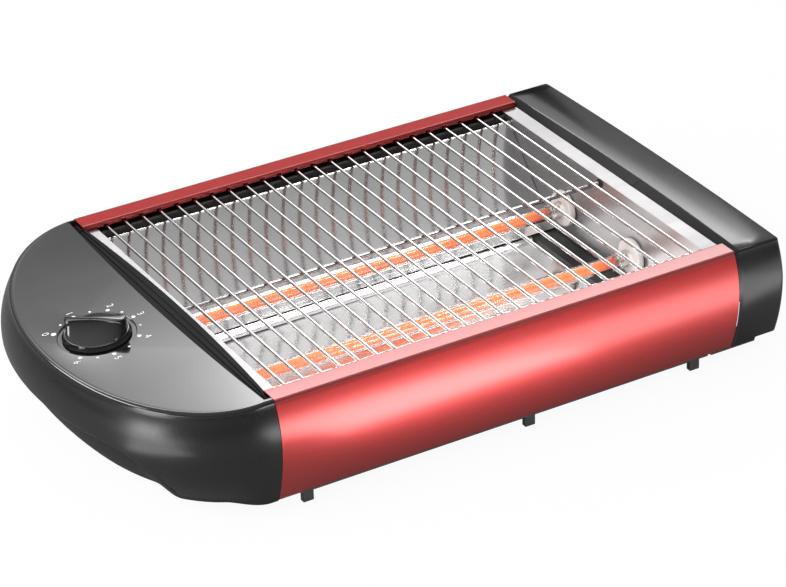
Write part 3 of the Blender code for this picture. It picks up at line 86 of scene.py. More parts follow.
lens = bpy.data.cameras.new("photo_camera")
lens.sensor_width = 36.0
lens.lens = 151.966
camera = bpy.data.objects.new("photo_camera", lens)
camera.matrix_world = facing
bpy.context.collection.objects.link(camera)
bpy.context.scene.camera = camera
bpy.context.scene.view_settings.view_transform = "Standard"
print("camera at", [round(value, 3) for value in CAMERA_PLACE])

# %% [markdown]
# ## Helpers for node materials
#
# Every finish below is a Principled shader fed by a few texture nodes. Short helpers keep those cells
# readable: one makes the material with its plain values on the shader itself, one adds a node and fills its
# sockets with numbers or links, and the rest name what we do most often, such as mixing two colours.

# %% Material helpers
SHADER = "Principled BSDF"


def plain_finish(name, colour, roughness, metallic=0.0, more=()):
    """A Principled material whose even values sit on the shader's own sockets."""
    material = bpy.data.materials.new(name)
    material.use_nodes = True
    inputs = material.node_tree.nodes[SHADER].inputs
    values = (("Base Color", (*colour, 1.0)), ("Roughness", roughness), ("Metallic", metallic), *more)
    for socket, value in values:
        inputs[socket].default_value = value
    return material


def add_node(owner, kind, sockets=(), **settings):
    """Add a node; sockets pairs an input's name or number with a value or an output to link."""
    made = owner.node_tree.nodes.new(kind)
    for key, value in settings.items():
        setattr(made, key, value)
    for key, value in sockets:
        if isinstance(value, bpy.types.NodeSocket):
            owner.node_tree.links.new(value, made.inputs[key])
        else:
            made.inputs[key].default_value = value
    return made


def feed(material, socket, output):
    """Link an output to one socket of the material's Principled shader."""
    material.node_tree.links.new(output, material.node_tree.nodes[SHADER].inputs[socket])


def reckon(owner, operation, *values):
    """The output of a math node that is given numbers or outputs."""
    return add_node(owner, "ShaderNodeMath", list(enumerate(values)), operation=operation).outputs[0]


def object_place(material, stretch=(1.0, 1.0, 1.0)):
    """Object coordinates, stretched so that a pattern can run along an axis."""
    source = add_node(material, "ShaderNodeTexCoord").outputs["Object"]
    return add_node(material, "ShaderNodeMapping", [("Vector", source), ("Scale", stretch)]).outputs["Vector"]


def noise(material, place, scale, detail=2.0):
    """A noise texture; one unit of scale is one cell per metre."""
    return add_node(material, "ShaderNodeTexNoise",
                    [("Vector", place), ("Scale", scale), ("Detail", detail)]).outputs["Fac"]


def spread(owner, value, low, high, start=0.3, end=0.7):
    """Map a value between start and end, at first the middle of a noise, to a range from low to high."""
    return add_node(owner, "ShaderNodeMapRange", [("Value", value), ("From Min", start), ("From Max", end),
                                                  ("To Min", low), ("To Max", high)]).outputs["Result"]


def tint(material, factor, first, second):
    """Mix two colours, each a triple or an output, by a factor."""
    ends = [end if isinstance(end, bpy.types.NodeSocket) else (*end, 1.0) for end in (first, second)]
    return add_node(material, "ShaderNodeMix", [("Factor", factor), (6, ends[0]), (7, ends[1])],
                    data_type="RGBA").outputs[2]


def emboss(material, height, distance, strength=1.0):
    """Bump the surface by a height pattern, in metres."""
    bump = add_node(material, "ShaderNodeBump",
                    [("Height", height), ("Distance", distance), ("Strength", strength)])
    feed(material, "Normal", bump.outputs["Normal"])


print("material helpers ready")

# %% [markdown]
# ## Floor and room
#
# The object stands on a plain pale floor that fades into a white room. The floor shows itself white to the
# camera, but reflections see most of it as black, since mirrored white from below would wash out the red
# and the black. The room is white for the camera and even for diffuse light. For reflections it is dark at
# the horizon and grows brighter upwards and towards the back, as a real studio does, and that gives black
# plastic its depth.

# %% Floor and world
WHITE = (1.0, 1.0, 1.0, 1.0)
FLOOR_REACH = 6.0
FLOOR_DIMMED = 0.65
FLOOR_SEEN = 0.94
ROOM_DIFFUSE = 0.55
ROOM_LEAST = 0.05

floor_shape = bmesh.new()
bmesh.ops.create_grid(floor_shape, x_segments=8, y_segments=8, size=FLOOR_REACH)
floor_mesh = bpy.data.meshes.new("floor")
floor_shape.to_mesh(floor_mesh)
floor_shape.free()
floor = bpy.data.objects.new("floor", floor_mesh)
bpy.context.collection.objects.link(floor)

pale_floor = plain_finish("pale_floor", (0.90, 0.90, 0.90), 0.8, more=[("Specular IOR Level", 0.0)])
grain = noise(pale_floor, object_place(pale_floor), 60.0, 3.0)
feed(pale_floor, "Base Color", tint(pale_floor, grain, (0.89, 0.89, 0.89), (0.91, 0.91, 0.91)))
rays = add_node(pale_floor, "ShaderNodeLightPath").outputs
surface = pale_floor.node_tree.nodes[SHADER].outputs[0]
for ray, share, strength in (("Is Glossy Ray", FLOOR_DIMMED, 0.0), ("Is Camera Ray", FLOOR_SEEN, 1.0)):
    glow = add_node(pale_floor, "ShaderNodeEmission", [("Color", WHITE), ("Strength", strength)])
    mixed = [(0, reckon(pale_floor, "MULTIPLY", rays[ray], share)), (1, surface), (2, glow.outputs[0])]
    surface = add_node(pale_floor, "ShaderNodeMixShader", mixed).outputs[0]
pale_floor.node_tree.links.new(surface, pale_floor.node_tree.nodes["Material Output"].inputs["Surface"])
floor_mesh.materials.append(pale_floor)

room = bpy.data.worlds.new("white_room")
bpy.context.scene.world = room
room.use_nodes = True
room_light = room.node_tree.nodes["Background"].inputs
room_light["Color"].default_value = WHITE
rays = add_node(room, "ShaderNodeLightPath").outputs
heading = add_node(room, "ShaderNodeTexCoord").outputs["Generated"]
heading = add_node(room, "ShaderNodeSeparateXYZ", [("Vector", heading)]).outputs
overhead = spread(room, heading["Z"], 0.0, 1.0, 0.02, 0.45)
behind = spread(room, heading["Y"], 0.30, 0.95, -0.7, 0.5)
studio = reckon(room, "MULTIPLY_ADD", overhead, behind, ROOM_LEAST)
mirrored = reckon(room, "MAXIMUM", rays["Is Glossy Ray"], rays["Is Transmission Ray"])
lit = add_node(room, "ShaderNodeMix", [(0, mirrored), (2, ROOM_DIFFUSE), (3, studio)]).outputs[0]
seen = add_node(room, "ShaderNodeMix", [(0, rays["Is Camera Ray"]), (2, lit), (3, 1.0)]).outputs[0]
room.node_tree.links.new(seen, room_light["Strength"])
print("floor and room ready")

# %% [markdown]
# ## Soft lamps
#
# A softbox behind and above the object draws the sheen over the sloping top and the cap. It is built from
# eight strips that grow brighter upwards, so that its reflection fades instead of ending in a line. A thin
# strip just under it is for the tray. The bulged panel and the housing's wall mirror the table, so flat
# lights lie there, dimmer towards the right, and a card stands far left. Two fills open the chamber without
# being mirrored, and two small lamps that only reflections see draw fine lines on the rims. Last comes a
# black flag, which keeps the rear flange deep red: from the camera it would mirror the room below the strip.

# %% Lamps
FACING_FRONT = (-90.0, 0.0, 0.0)
FACING_UP = (180.0, 0.0, 0.0)
SOFTBOX_BOTTOM = 0.82
STRIP_HEIGHT = 0.04
LAMPS = (
    ("tray_light", (0.63, 1.15, 0.77), FACING_FRONT, 0.42, 0.06, 1.4, ""),
    ("front_fill", (-1.1, -1.3, 1.5), (48.0, 0.0, -40.0), 1.0, 1.0, 12.0 / math.pi, "glossy"),
    ("left_fill", (-1.3, -0.1, 1.0), (0.0, -56.0, 0.0), 1.0, 1.0, 18.0 / math.pi, "glossy"),
    ("front_table_left", (0.0225, -0.585, 0.004), FACING_UP, 0.155, 0.85, 6.0, ""),
    ("front_table_middle", (0.20, -0.585, 0.004), FACING_UP, 0.20, 0.85, 3.0, ""),
    ("front_table_right", (0.525, -0.585, 0.004), FACING_UP, 0.45, 0.85, 1.2, ""),
    ("rim_light", (-1.217, 0.667, 0.884), (-57.0, 0.0, 58.0), 1.2, 0.40, 20.0 / (math.pi * 0.48), "diffuse"),
    ("edge_light", (0.60, -0.20, 1.25), (0.0, 27.0, 0.0), 0.30, 0.30, 3.0 / (math.pi * 0.09), "diffuse"),
    ("left_table_near", (-0.29, -0.105, 0.004), FACING_UP, 0.14, 0.09, 3.2, ""),
    ("left_table_far", (-0.54, -0.14, 0.004), FACING_UP, 0.36, 0.20, 5.0, ""),
    ("left_card", (-0.73, -0.13, 0.080), (0.0, -90.0, 0.0), 0.15, 0.20, 9.0, ""),
)
FLAG_CORNERS = ((0.25, 0.45), (0.89, 0.45), (0.89, 0.71), (0.25, 0.71))
FLAG_Y = 1.13


def add_lamp(name, place, tilt, width, height, radiance, unseen_by=""):
    """A rectangular area lamp of even radiance; tilt turns it, in degrees, from facing the floor."""
    data = bpy.data.lights.new(name, "AREA")
    data.shape = "RECTANGLE"
    data.size, data.size_y = width, height
    data.energy = radiance * math.pi * width * height
    lamp = bpy.data.objects.new(name, data)
    lamp.location = place
    lamp.rotation_euler = [math.radians(angle) for angle in tilt]
    lamp.visible_camera = False
    if unseen_by:
        setattr(lamp, "visible_" + unseen_by, False)
    bpy.context.collection.objects.link(lamp)


for step in range(8):
    add_lamp(f"rear_softbox_{step + 1}", (0.55, 1.15, SOFTBOX_BOTTOM + STRIP_HEIGHT * step), FACING_FRONT,
             1.22, STRIP_HEIGHT, 0.9 + 0.85 * step + 0.16 * step * step)
for row in LAMPS:
    add_lamp(*row)

flag_mesh = bpy.data.meshes.new("black_flag")
flag_mesh.from_pydata([(x, FLAG_Y, z) for x, z in FLAG_CORNERS], [], [(0, 1, 2, 3)])
flag_black = plain_finish("flag_black", (0.0, 0.0, 0.0), 1.0, more=[("Specular IOR Level", 0.0)])
flag_mesh.materials.append(flag_black)
flag = bpy.data.objects.new("black_flag", flag_mesh)
for kind in ("camera", "diffuse", "transmission", "shadow"):
    setattr(flag, "visible_" + kind, False)
bpy.context.collection.objects.link(flag)
print("lamps and flag ready")

# %% [markdown]
# ## Finish: moulded black plastic
#
# The housing, cap and knob are moulded in black plastic. Its skin is never perfectly flat: a fine ripple
# from the mould breaks up reflections, and handling leaves patches that are a little duller. A fine noise
# gives the ripple as bump, and a broad one moves the roughness. The housing's top is glossy, its wall is
# satin, and the grip and the strip by the grill are so dull that they hardly mirror anything.

# %% Black plastics
def moulded_black(name, shade, dull, gloss, ripple, mirror=0.5):
    """Black plastic with a moulded ripple, and patches of roughness between gloss and dull."""
    material = plain_finish(name, (shade, shade, shade * 1.06), dull, more=[("Specular IOR Level", mirror)])
    place = object_place(material)
    feed(material, "Roughness", spread(material, noise(material, place, 28.0, 3.0), gloss, dull))
    emboss(material, noise(material, place, 1400.0), ripple)
    return material


housing_black = moulded_black("housing_black", 0.010, 0.10, 0.07, 0.000005)
wall_black = moulded_black("wall_black", 0.008, 0.29, 0.24, 0.000006)
grip_black = moulded_black("grip_black", 0.008, 0.40, 0.32, 0.000010, mirror=0.12)
cap_black = moulded_black("cap_black", 0.010, 0.14, 0.10, 0.000006, mirror=0.25)
knob_black = moulded_black("knob_black", 0.006, 0.13, 0.10, 0.000003)
trim_black = moulded_black("trim_black", 0.006, 0.44, 0.36, 0.000015, mirror=0.05)
satin_black = moulded_black("satin_black", 0.012, 0.52, 0.42, 0.000030)
print("black plastics ready, from gloss", housing_black.name, "to matt", satin_black.name)

# %% [markdown]
# ## Finish: metallic red lacquer
#
# The side panels are steel sheet sprayed with a metallic red. Tiny flakes under a clear coat each tilt a
# little differently, so the colour is deep where they face away and pale pink where they catch the lamp.
# A cell texture of fractions of a millimetre varies colour and tilt from flake to flake. On the flat
# flanges the coat has levelled out and is much glossier than on the sprayed sides, and their red is a
# darker copy of the same lacquer, a painted shade.

# %% Metallic red
FLAKES_PER_METRE = 2600.0


def lacquered(name, first, second, coat, coat_roughness):
    """Metallic lacquer: flakes between two reds under a clear coat."""
    clear_coat = [("Coat Weight", coat), ("Coat Roughness", coat_roughness), ("Coat IOR", 1.60)]
    material = plain_finish(name, first, 0.44, 0.88, clear_coat)
    flakes = add_node(material, "ShaderNodeTexVoronoi",
                      [("Vector", object_place(material)), ("Scale", FLAKES_PER_METRE)]).outputs["Distance"]
    feed(material, "Base Color", tint(material, spread(material, flakes, 0.0, 1.0, 0.1, 0.7), first, second))
    emboss(material, flakes, 0.000010, 0.6)
    return material


metallic_red = lacquered("metallic_red", (0.58, 0.038, 0.033), (0.47, 0.028, 0.027), 1.0, 0.27)
# The flanges are the same lacquer with a darker red: a painted shade.
flange_red_shaded = lacquered("flange_red_shaded", (0.34, 0.018, 0.017), (0.28, 0.014, 0.013), 0.80, 0.08)
print("lacquer flakes of", round(1000 / FLAKES_PER_METRE, 2), "mm")

# %% [markdown]
# ## Finish: polished sheet and plated wire
#
# The trough under the grill is bright rolled sheet. Rolling leaves faint lines along the toaster, pressing
# leaves shallow waves, and both bend the reflections of the wires and tubes. The noise for the lines is
# stretched along X, and a second, broad one gives the waves. The wires are plated, with slight blotches.

# %% Bright metals
def bright_sheet(name, colour, gloss, dull, wave):
    """Polished sheet: rolling lines along X in the roughness, and shallow waves."""
    material = plain_finish(name, colour, dull, 1.0)
    lines = noise(material, object_place(material, (6.0, 260.0, 260.0)), 4.0, 4.0)
    feed(material, "Roughness", spread(material, lines, gloss, dull))
    blotch = spread(material, noise(material, object_place(material), 35.0, 3.0), 0.0, 1.0)
    feed(material, "Base Color", tint(material, blotch, colour, tuple(channel * 0.86 for channel in colour)))
    emboss(material, noise(material, object_place(material, (1.0, 2.0, 2.0)), 16.0, 1.0), wave)
    return material


mirror_sheet = bright_sheet("mirror_sheet", (0.92, 0.91, 0.91), 0.07, 0.15, 0.00010)
flange_sheet = bright_sheet("flange_sheet", (0.44, 0.43, 0.435), 0.34, 0.46, 0.00006)
plated_wire = bright_sheet("plated_wire", (0.52, 0.50, 0.50), 0.05, 0.10, 0.00001)
zinc_steel = bright_sheet("zinc_steel", (0.60, 0.60, 0.57), 0.24, 0.38, 0.00002)
# A painted shade: the gutters beside the reflectors and the hem under each panel's flange lie in shade, so
# their faces get this near-black colour, mottled at random.
painted_shade_channel = plain_finish("painted_shade_channel", (0.022, 0.020, 0.020), 0.55, 0.3)
shade_mottle = noise(painted_shade_channel, object_place(painted_shade_channel, (1.0, 4.0, 4.0)), 120.0, 4.0)
feed(painted_shade_channel, "Base Color", tint(painted_shade_channel, shade_mottle, (0.012, 0.012, 0.013), (0.045, 0.038, 0.034)))
emboss(painted_shade_channel, shade_mottle, 0.00005)
print("bright metals ready")

# %% [markdown]
# ## Finish: ceramic, quartz and the glowing winding
#
# The tube holders are unglazed ceramic: matt, chalky and slightly speckled. The tubes are clear quartz with
# a bright winding inside. Its glow is an emission of one even strength. The colour follows the height in
# the tube, in bands of orange and red round a pale band, a painted highlight, with deep red at the bottom,
# a painted shade, and a slow flicker along it, and it dims to deep red where the ends cool.

# %% Heater finishes
ceramic = plain_finish("ceramic", (0.92, 0.86, 0.83), 0.62)
place = object_place(ceramic)
mottle = spread(ceramic, noise(ceramic, place, 140.0, 3.0), 0.0, 1.0)
feed(ceramic, "Base Color", tint(ceramic, mottle, (0.96, 0.91, 0.88), (0.90, 0.81, 0.77)))
emboss(ceramic, noise(ceramic, place, 900.0, 4.0), 0.00006)

quartz = plain_finish("quartz", (1.0, 0.97, 0.95), 0.03, more=[("Transmission Weight", 1.0), ("IOR", 1.46)])
draw_lines = noise(quartz, object_place(quartz, (3.0, 400.0, 400.0)), 5.0, 3.0)
feed(quartz, "Roughness", spread(quartz, draw_lines, 0.02, 0.10))

HOT_HALF_LENGTH = 0.098
COLD_HALF_LENGTH = 0.113
# The bands follow the height in the tube: the pale one is a painted highlight of the quartz and the deep red
# at the bottom a painted shade.
GLOW_AND_HIGHLIGHT_BANDS = ((0.28, (1.0, 0.13, 0.030)), (0.52, (1.0, 0.50, 0.26)), (0.74, (1.0, 0.18, 0.035)))
tube_middle = box_centre("front_quartz_tube")
winding_glow_and_highlight = plain_finish("winding_glow_and_highlight", (0.55, 0.20, 0.10), 0.45, 0.6, [("Emission Strength", 0.85)])
place = object_place(winding_glow_and_highlight)
parts = add_node(winding_glow_and_highlight, "ShaderNodeSeparateXYZ", [("Vector", place)]).outputs
distance = reckon(winding_glow_and_highlight, "ABSOLUTE", reckon(winding_glow_and_highlight, "SUBTRACT", parts["X"], tube_middle.x))
heat = spread(winding_glow_and_highlight, distance, 0.0, 1.0, COLD_HALF_LENGTH, HOT_HALF_LENGTH)
height = spread(winding_glow_and_highlight, parts["Z"], 0.0, 1.0, tube_middle.z - 0.0018, tube_middle.z + 0.0028)
glow_shade_and_highlight = add_node(winding_glow_and_highlight, "ShaderNodeValToRGB", [("Fac", height)])
ramp = glow_shade_and_highlight.color_ramp.elements
ramp[0].color = (0.55, 0.030, 0.015, 1.0)
ramp[1].color = (1.0, 0.36, 0.14, 1.0)
for position, colour in GLOW_AND_HIGHLIGHT_BANDS:
    ramp.new(position).color = (*colour, 1.0)
flicker = spread(winding_glow_and_highlight, noise(winding_glow_and_highlight, place, 60.0), 0.0, 0.6)
glow_and_highlight = tint(winding_glow_and_highlight, flicker, glow_shade_and_highlight.outputs["Color"], (1.0, 0.30, 0.08))
feed(winding_glow_and_highlight, "Emission Color", tint(winding_glow_and_highlight, heat, (0.30, 0.02, 0.01), glow_and_highlight))
print("heater finishes ready, tube middle at", round(tube_middle.x * 1000, 1), "mm")

# %% [markdown]
# ## Finish: the quiet materials
#
# Under and inside the body sit dark coated sheet, rubber feet and bushing, white mouldings, woven lead
# sleeves and white printing. They show little, but each still has its own grain, so that the part looks
# right when it is turned over or opened.

# %% Quiet materials
def grained(name, first, second, roughness, grain_scale, depth, metallic=0.0):
    """A matt finish with a two-tone grain that also makes its bump."""
    material = plain_finish(name, first, roughness, metallic)
    pattern = noise(material, object_place(material), grain_scale, 4.0)
    feed(material, "Base Color", tint(material, pattern, first, second))
    feed(material, "Roughness", spread(material, pattern, roughness - 0.06, roughness + 0.06))
    emboss(material, pattern, depth)
    return material


coated_sheet = grained("coated_sheet", (0.075, 0.075, 0.080), (0.105, 0.105, 0.110), 0.48, 700.0, 0.00004,
                       metallic=0.2)
foot_rubber = grained("foot_rubber", (0.085, 0.085, 0.090), (0.060, 0.060, 0.064), 0.60, 500.0, 0.00005)
bushing_rubber = grained("bushing_rubber", (0.022, 0.022, 0.023), (0.034, 0.034, 0.036), 0.55, 600.0, 0.00004)
white_moulding = grained("white_moulding", (0.78, 0.78, 0.75), (0.72, 0.72, 0.68), 0.46, 300.0, 0.00003)
woven_sleeve = grained("woven_sleeve", (0.66, 0.63, 0.56), (0.44, 0.41, 0.35), 0.70, 1500.0, 0.00012)
dial_print = grained("dial_print", (0.95, 0.95, 0.95), (0.88, 0.88, 0.88), 0.50, 2500.0, 0.000003)
print("quiet materials ready")

# %% [markdown]
# ## Dress the CAD nodes that keep their shape
#
# Flat sheets, posts and inner mouldings are already right as packed. They keep their meshes and only get a
# finish from above in their material slots.

# %% Dress CAD nodes
def dress(finish, *names):
    """Give CAD nodes a finish in every material slot."""
    for name in names:
        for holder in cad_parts[name].material_slots:
            holder.material = finish


dress(flange_sheet, "left_end_plate", "right_end_plate")
dress(coated_sheet, "base_plate")
dress(satin_black, "crumb_tray_pull", "control_base")
dress(foot_rubber, *[f"foot_{number}" for number in range(1, 7)])
dress(white_moulding, "timer_body", "terminal_block")
dress(woven_sleeve, "front_tube_lead", "rear_tube_lead", "tube_link_lead")
dress(zinc_steel, "timer_shaft")
dress(bushing_rubber, "cord_bushing")
print("dressed CAD nodes")

# %% [markdown]
# ## Helpers for new pieces
#
# Folded sheets and moulded walls both start as a chain of a few vertices, their cross-section, which is
# extruded again and again while each new row is put in its place. Turned pieces start the same way and are
# spun. One last helper makes the mesh, gives it its finish, and lets it ride on its body in the CAD node's
# stead.

# %% Shape helpers
TURN = math.tau
SHARP = math.radians(32)
SIDES = (("front", -1), ("rear", 1))


def between(start, end, share):
    """The value a share of the way from start to end."""
    return start + (end - start) * share


def spaced(start, end, count, first=0):
    """Values from start to end in count equal steps, from step number first on."""
    return [between(start, end, step / count) for step in range(first, count + 1)]


def eased(share):
    """A share from 0 to 1, eased at both ends."""
    held = min(max(share, 0.0), 1.0)
    return held * held * (3.0 - 2.0 * held)


def chain(shape, points, closed=False):
    """A few vertices joined by edges: the section that extrude or spin starts from."""
    verts = [shape.verts.new(point) for point in points]
    edges = [shape.edges.new(pair) for pair in zip(verts, verts[1:])]
    if closed:
        edges.append(shape.edges.new((verts[-1], verts[0])))
    return edges


def extruded(shape, edges):
    """Extrude a row of edges once, and give the new vertices and edges."""
    grown = bmesh.ops.extrude_edge_only(shape, edges=edges)["geom"]
    kinds = (bmesh.types.BMVert, bmesh.types.BMEdge)
    return [[part for part in grown if isinstance(part, kind)] for kind in kinds]


def loft(shape, edges, rows):
    """Extrude a row of edges through further rows of points."""
    for points in rows:
        verts, edges = extruded(shape, edges)
        for vert, point in zip(verts, points):
            vert.co = point
    return edges


def shift(shape, edges, step):
    """Extrude a row of edges by one step."""
    verts, edges = extruded(shape, edges)
    bmesh.ops.translate(shape, verts=verts, vec=step)
    return edges


def spun(profile, centre, axis, steps):
    """Turn a profile of (along, radius) pairs about an axis through a centre."""
    shape = bmesh.new()
    along = Vector(axis).normalized()
    side = along.orthogonal().normalized()
    edges = chain(shape, [Vector(centre) + along * reach + side * radius for reach, radius in profile])
    bmesh.ops.spin(shape, geom=shape.verts[:] + edges, cent=centre, axis=along, angle=TURN,
                   steps=steps, use_merge=True)
    return shape


def split(shape, axis, value, faces=None):
    """Cut new edges where the coordinate on an axis has a value, through the whole shape or some faces."""
    faces = faces or shape.faces[:]
    geometry = list(dict.fromkeys(part for face in faces for part in (*face.verts, *face.edges))) + faces
    normal = Vector([float(axis == name) for name in "xyz"])
    bmesh.ops.bisect_plane(shape, geom=geometry, dist=1e-7, plane_co=normal * value, plane_no=normal)


def thicken(shape, thickness, hidden_point):
    """Give a sheet its thickness on the side of a point that no one sees."""
    shape.normal_update()
    widest = max(shape.faces, key=lambda face: face.calc_area())
    if widest.normal.dot(widest.calc_center_median() - Vector(hidden_point)) < 0.0:
        bmesh.ops.reverse_faces(shape, faces=shape.faces[:])
    shape.normal_update()
    bmesh.ops.solidify(shape, geom=shape.faces[:], thickness=thickness)


def add_piece(name, shape, finishes, body="body", stands_for=(), sharp=SHARP, solid=True):
    """Turn a shape into a piece that rides on its body; a solid one has its normals turned outwards."""
    if solid:
        bmesh.ops.recalc_face_normals(shape, faces=shape.faces)
    mesh = bpy.data.meshes.new(name)
    shape.to_mesh(mesh)
    shape.free()
    mesh.shade_smooth()
    mesh.set_sharp_from_angle(angle=sharp)
    for finish in finishes:
        mesh.materials.append(finish)
    piece = bpy.data.objects.new(name, mesh)
    bpy.context.collection.objects.link(piece)
    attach(piece, body)
    if stands_for:
        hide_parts(*stands_for)
    print(f"{name}: {len(mesh.polygons)} faces")


print("shape helpers ready")

# %% [markdown]
# ## Control housing: its wall
#
# The housing is half an ellipse in plan. Its wall rolls over a small rim, bulges to a crest and curls in to
# its foot, and round the front of the ellipse an arch is cut under the rim for the fingers. A skin like this
# could be sculpted, but then it would drift from the CAD sizes. Here each station round the ellipse has the
# same list of rows, given as a distance out from the plan and a height, and the rim row is pulled down
# through them. Close rows at the rim and at the arch's lip give those edges their radius.

# %% Housing wall
TOP = 0.067
FOOT = 0.0096
HALF_WIDTH = 0.110
BULGE = 0.0054
CREST = 0.043
PLATE_EDGE = -0.1153
SEAM = -0.1115
REACH = 0.068
PLATE_DROP = 0.0050
RIM_RADIUS = 0.0020
RIM_LAND = 0.0014
LAND = 0.0006
LIP_RADIUS = 0.0010
ARCH_TOP = 0.0395
ARCH_HALF_TURN = 26.0
ARCH_FADE = 26.5
FOOT_TUCK = 0.0215
CORNER_TUCK = 0.0140
SIDE_TUCK = 0.0064
GRIP_SWELL = 0.0018
STATION_COUNT = 168
ROLL_STEPS, UPPER_STEPS, LOWER_STEPS, LIP_STEPS, FOOT_STEPS = 10, 10, 8, 6, 8
ROLL_END = 2 + ROLL_STEPS
LIP_START = ROLL_END + UPPER_STEPS + LOWER_STEPS
LIP_END = LIP_START + LIP_STEPS


def plate_level(x):
    """Height of the sloping top at a place along the toaster."""
    return TOP - max(0.0, PLATE_EDGE - x) * PLATE_DROP / REACH


def arch_share(angle):
    """1 at the middle of the finger grip, falling to 0 as a quarter ellipse at its ends."""
    share = min(max((math.degrees(abs(angle)) - ARCH_HALF_TURN) / ARCH_FADE, 0.0), 1.0)
    return math.sqrt(1.0 - share * share)


def corner_tuck(angle):
    """How far the foot curls in beside the grip."""
    return between(SIDE_TUCK, CORNER_TUCK, eased((90.0 - math.degrees(abs(angle))) / 20.0))


def foot_tuck(angle):
    """How far the foot lies inside the crest."""
    return between(FOOT_TUCK, corner_tuck(angle), eased((math.degrees(abs(angle)) - 38.0) / 15.0))


def wall_out(height, start, angle):
    """How far the wall stands out from the plan at a height."""
    if height >= CREST:
        return BULGE * (1.0 - ((height - CREST) / (start - CREST)) ** 2)
    return BULGE - (corner_tuck(angle) - 0.0008) * ((CREST - height) / (CREST - FOOT)) ** 2


def wall_rows(x, angle):
    """(distance out, height) from the plate's rim down to the foot at one station."""
    top = plate_level(x)
    start = top - RIM_RADIUS
    rows = [(-RIM_RADIUS - RIM_LAND, top), (-RIM_RADIUS - LAND, top)]
    rows += [(RIM_RADIUS * (math.sin(turn) - 1.0), start + RIM_RADIUS * math.cos(turn))
             for turn in spaced(0.0, TURN / 4, ROLL_STEPS)]
    rows += [(wall_out(height, start, angle), height) for height in spaced(start, CREST, UPPER_STEPS, 1)]
    share = arch_share(angle)
    rim = between(FOOT + 0.0015, ARCH_TOP, share)
    lip = between(0.0003, LIP_RADIUS, share)
    rows += [(wall_out(height, start, angle), height)
             for height in spaced(CREST, rim + lip, LOWER_STEPS, 1)]
    wall = rows[-1][0]
    rows += [(wall - lip * (1.0 - math.cos(turn)), rim + lip - lip * math.sin(turn))
             for turn in spaced(0.0, TURN / 4, LIP_STEPS, 1)]
    under = wall_out(rim, start, angle) - between(0.0004, 0.0022, share)
    foot = BULGE - foot_tuck(angle)
    for part in spaced(0.0, 1.0, FOOT_STEPS):
        swell = GRIP_SWELL * share * 4 * part * (1.0 - part)
        rows.append((between(under, foot, part) + swell, between(rim, FOOT, part)))
    return rows


stations = [(SEAM, -HALF_WIDTH, Vector((0.0, -1.0)), -TURN / 4)]
for angle in spaced(-TURN / 4, TURN / 4, STATION_COUNT):
    outward = Vector((-math.cos(angle) / REACH, math.sin(angle) / HALF_WIDTH)).normalized()
    stations.append((PLATE_EDGE - REACH * math.cos(angle), HALF_WIDTH * math.sin(angle), outward, angle))
stations.append((SEAM, HALF_WIDTH, Vector((0.0, 1.0)), TURN / 4))
columns = [[(x + outward.x * out, y + outward.y * out, height) for out, height in wall_rows(x, angle)]
           for x, y, outward, angle in stations]

housing = bmesh.new()
rim_edges = chain(housing, [column[0] for column in columns])
rim_verts = housing.verts[:]
row_edges = rim_edges
for row in range(1, len(columns[0])):
    known = len(housing.faces)
    row_edges = loft(housing, row_edges, [[column[row] for column in columns]])
    housing.faces.ensure_lookup_table()
    glossy = row <= ROLL_END or LIP_START < row <= LIP_END
    for face in housing.faces[known:]:
        face.material_index = 0 if glossy else 1 if row <= LIP_START else 2
wall_face_count = len(housing.faces)
print("wall rows:", len(columns[0]), "stations:", len(stations))

# %% [markdown]
# ## Control housing: plate and dial well
#
# The sloping top is one flat plate with a bowed right edge and a shallow round well for the knob. Two closed
# loops, the plate's outline and the well's mouth, are filled as one face with a hole. The well itself is the
# mouth's loop pulled down and in, with a narrow bevel that will catch the light as a thin ring.

# %% Plate and dial well
PLATE_TILT = math.atan2(PLATE_DROP, REACH)
DIAL_CENTRE = (-0.1527, -0.0018, 0.06425)
DIAL = Matrix.Translation(DIAL_CENTRE) @ Matrix.Rotation(-PLATE_TILT, 4, "Y")
EDGE_HALF_SPAN = 0.1064
EDGE_BOW = 0.0031
EDGE_DROP = 0.0026
WELL_MOUTH = 0.0202
WELL_DEPTH = 0.0008
WELL_COUNT = 96
WELL_RINGS = ((0.01995, 0.00018), (0.01985, 0.0007), (0.0197, WELL_DEPTH), (0.0036, WELL_DEPTH),
              (0.0036, 0.0024))


def ring_points(place, radius, height, count):
    """Points of a circle at a height above a place."""
    turns = [TURN * step / count for step in range(count)]
    return [place @ Vector((radius * math.cos(turn), radius * math.sin(turn), height)) for turn in turns]


def plate_edge(y):
    """The plate's bowed right edge at a place across the toaster."""
    return PLATE_EDGE - EDGE_BOW * (1.0 - (y / EDGE_HALF_SPAN) ** 2)


bowed_edge = [housing.verts.new((plate_edge(y), y, plate_level(plate_edge(y))))
              for y in spaced(EDGE_HALF_SPAN, -EDGE_HALF_SPAN, 48)]
edge_chain = [housing.edges.new(pair) for pair in zip(bowed_edge, bowed_edge[1:])]
corners = ((rim_verts[-2], bowed_edge[0]), (bowed_edge[-1], rim_verts[1]))
joints = [housing.edges.new(pair) for pair in corners]
well_edges = chain(housing, ring_points(DIAL, WELL_MOUTH, 0.0, WELL_COUNT), closed=True)
bmesh.ops.triangle_fill(housing, use_beauty=True, use_dissolve=False,
                        edges=rim_edges[1:-1] + edge_chain + joints + well_edges)
shift(housing, edge_chain + joints + [rim_edges[0], rim_edges[-1]], (0.0, 0.0, -EDGE_DROP))
loft(housing, well_edges, [ring_points(DIAL, radius, -depth, WELL_COUNT) for radius, depth in WELL_RINGS])
housing.faces.ensure_lookup_table()
for face in housing.faces[wall_face_count:]:
    face.material_index = 0
add_piece("housing_shell", housing, [housing_black, wall_black, grip_black], stands_for=["control_housing"],
          sharp=math.radians(28))

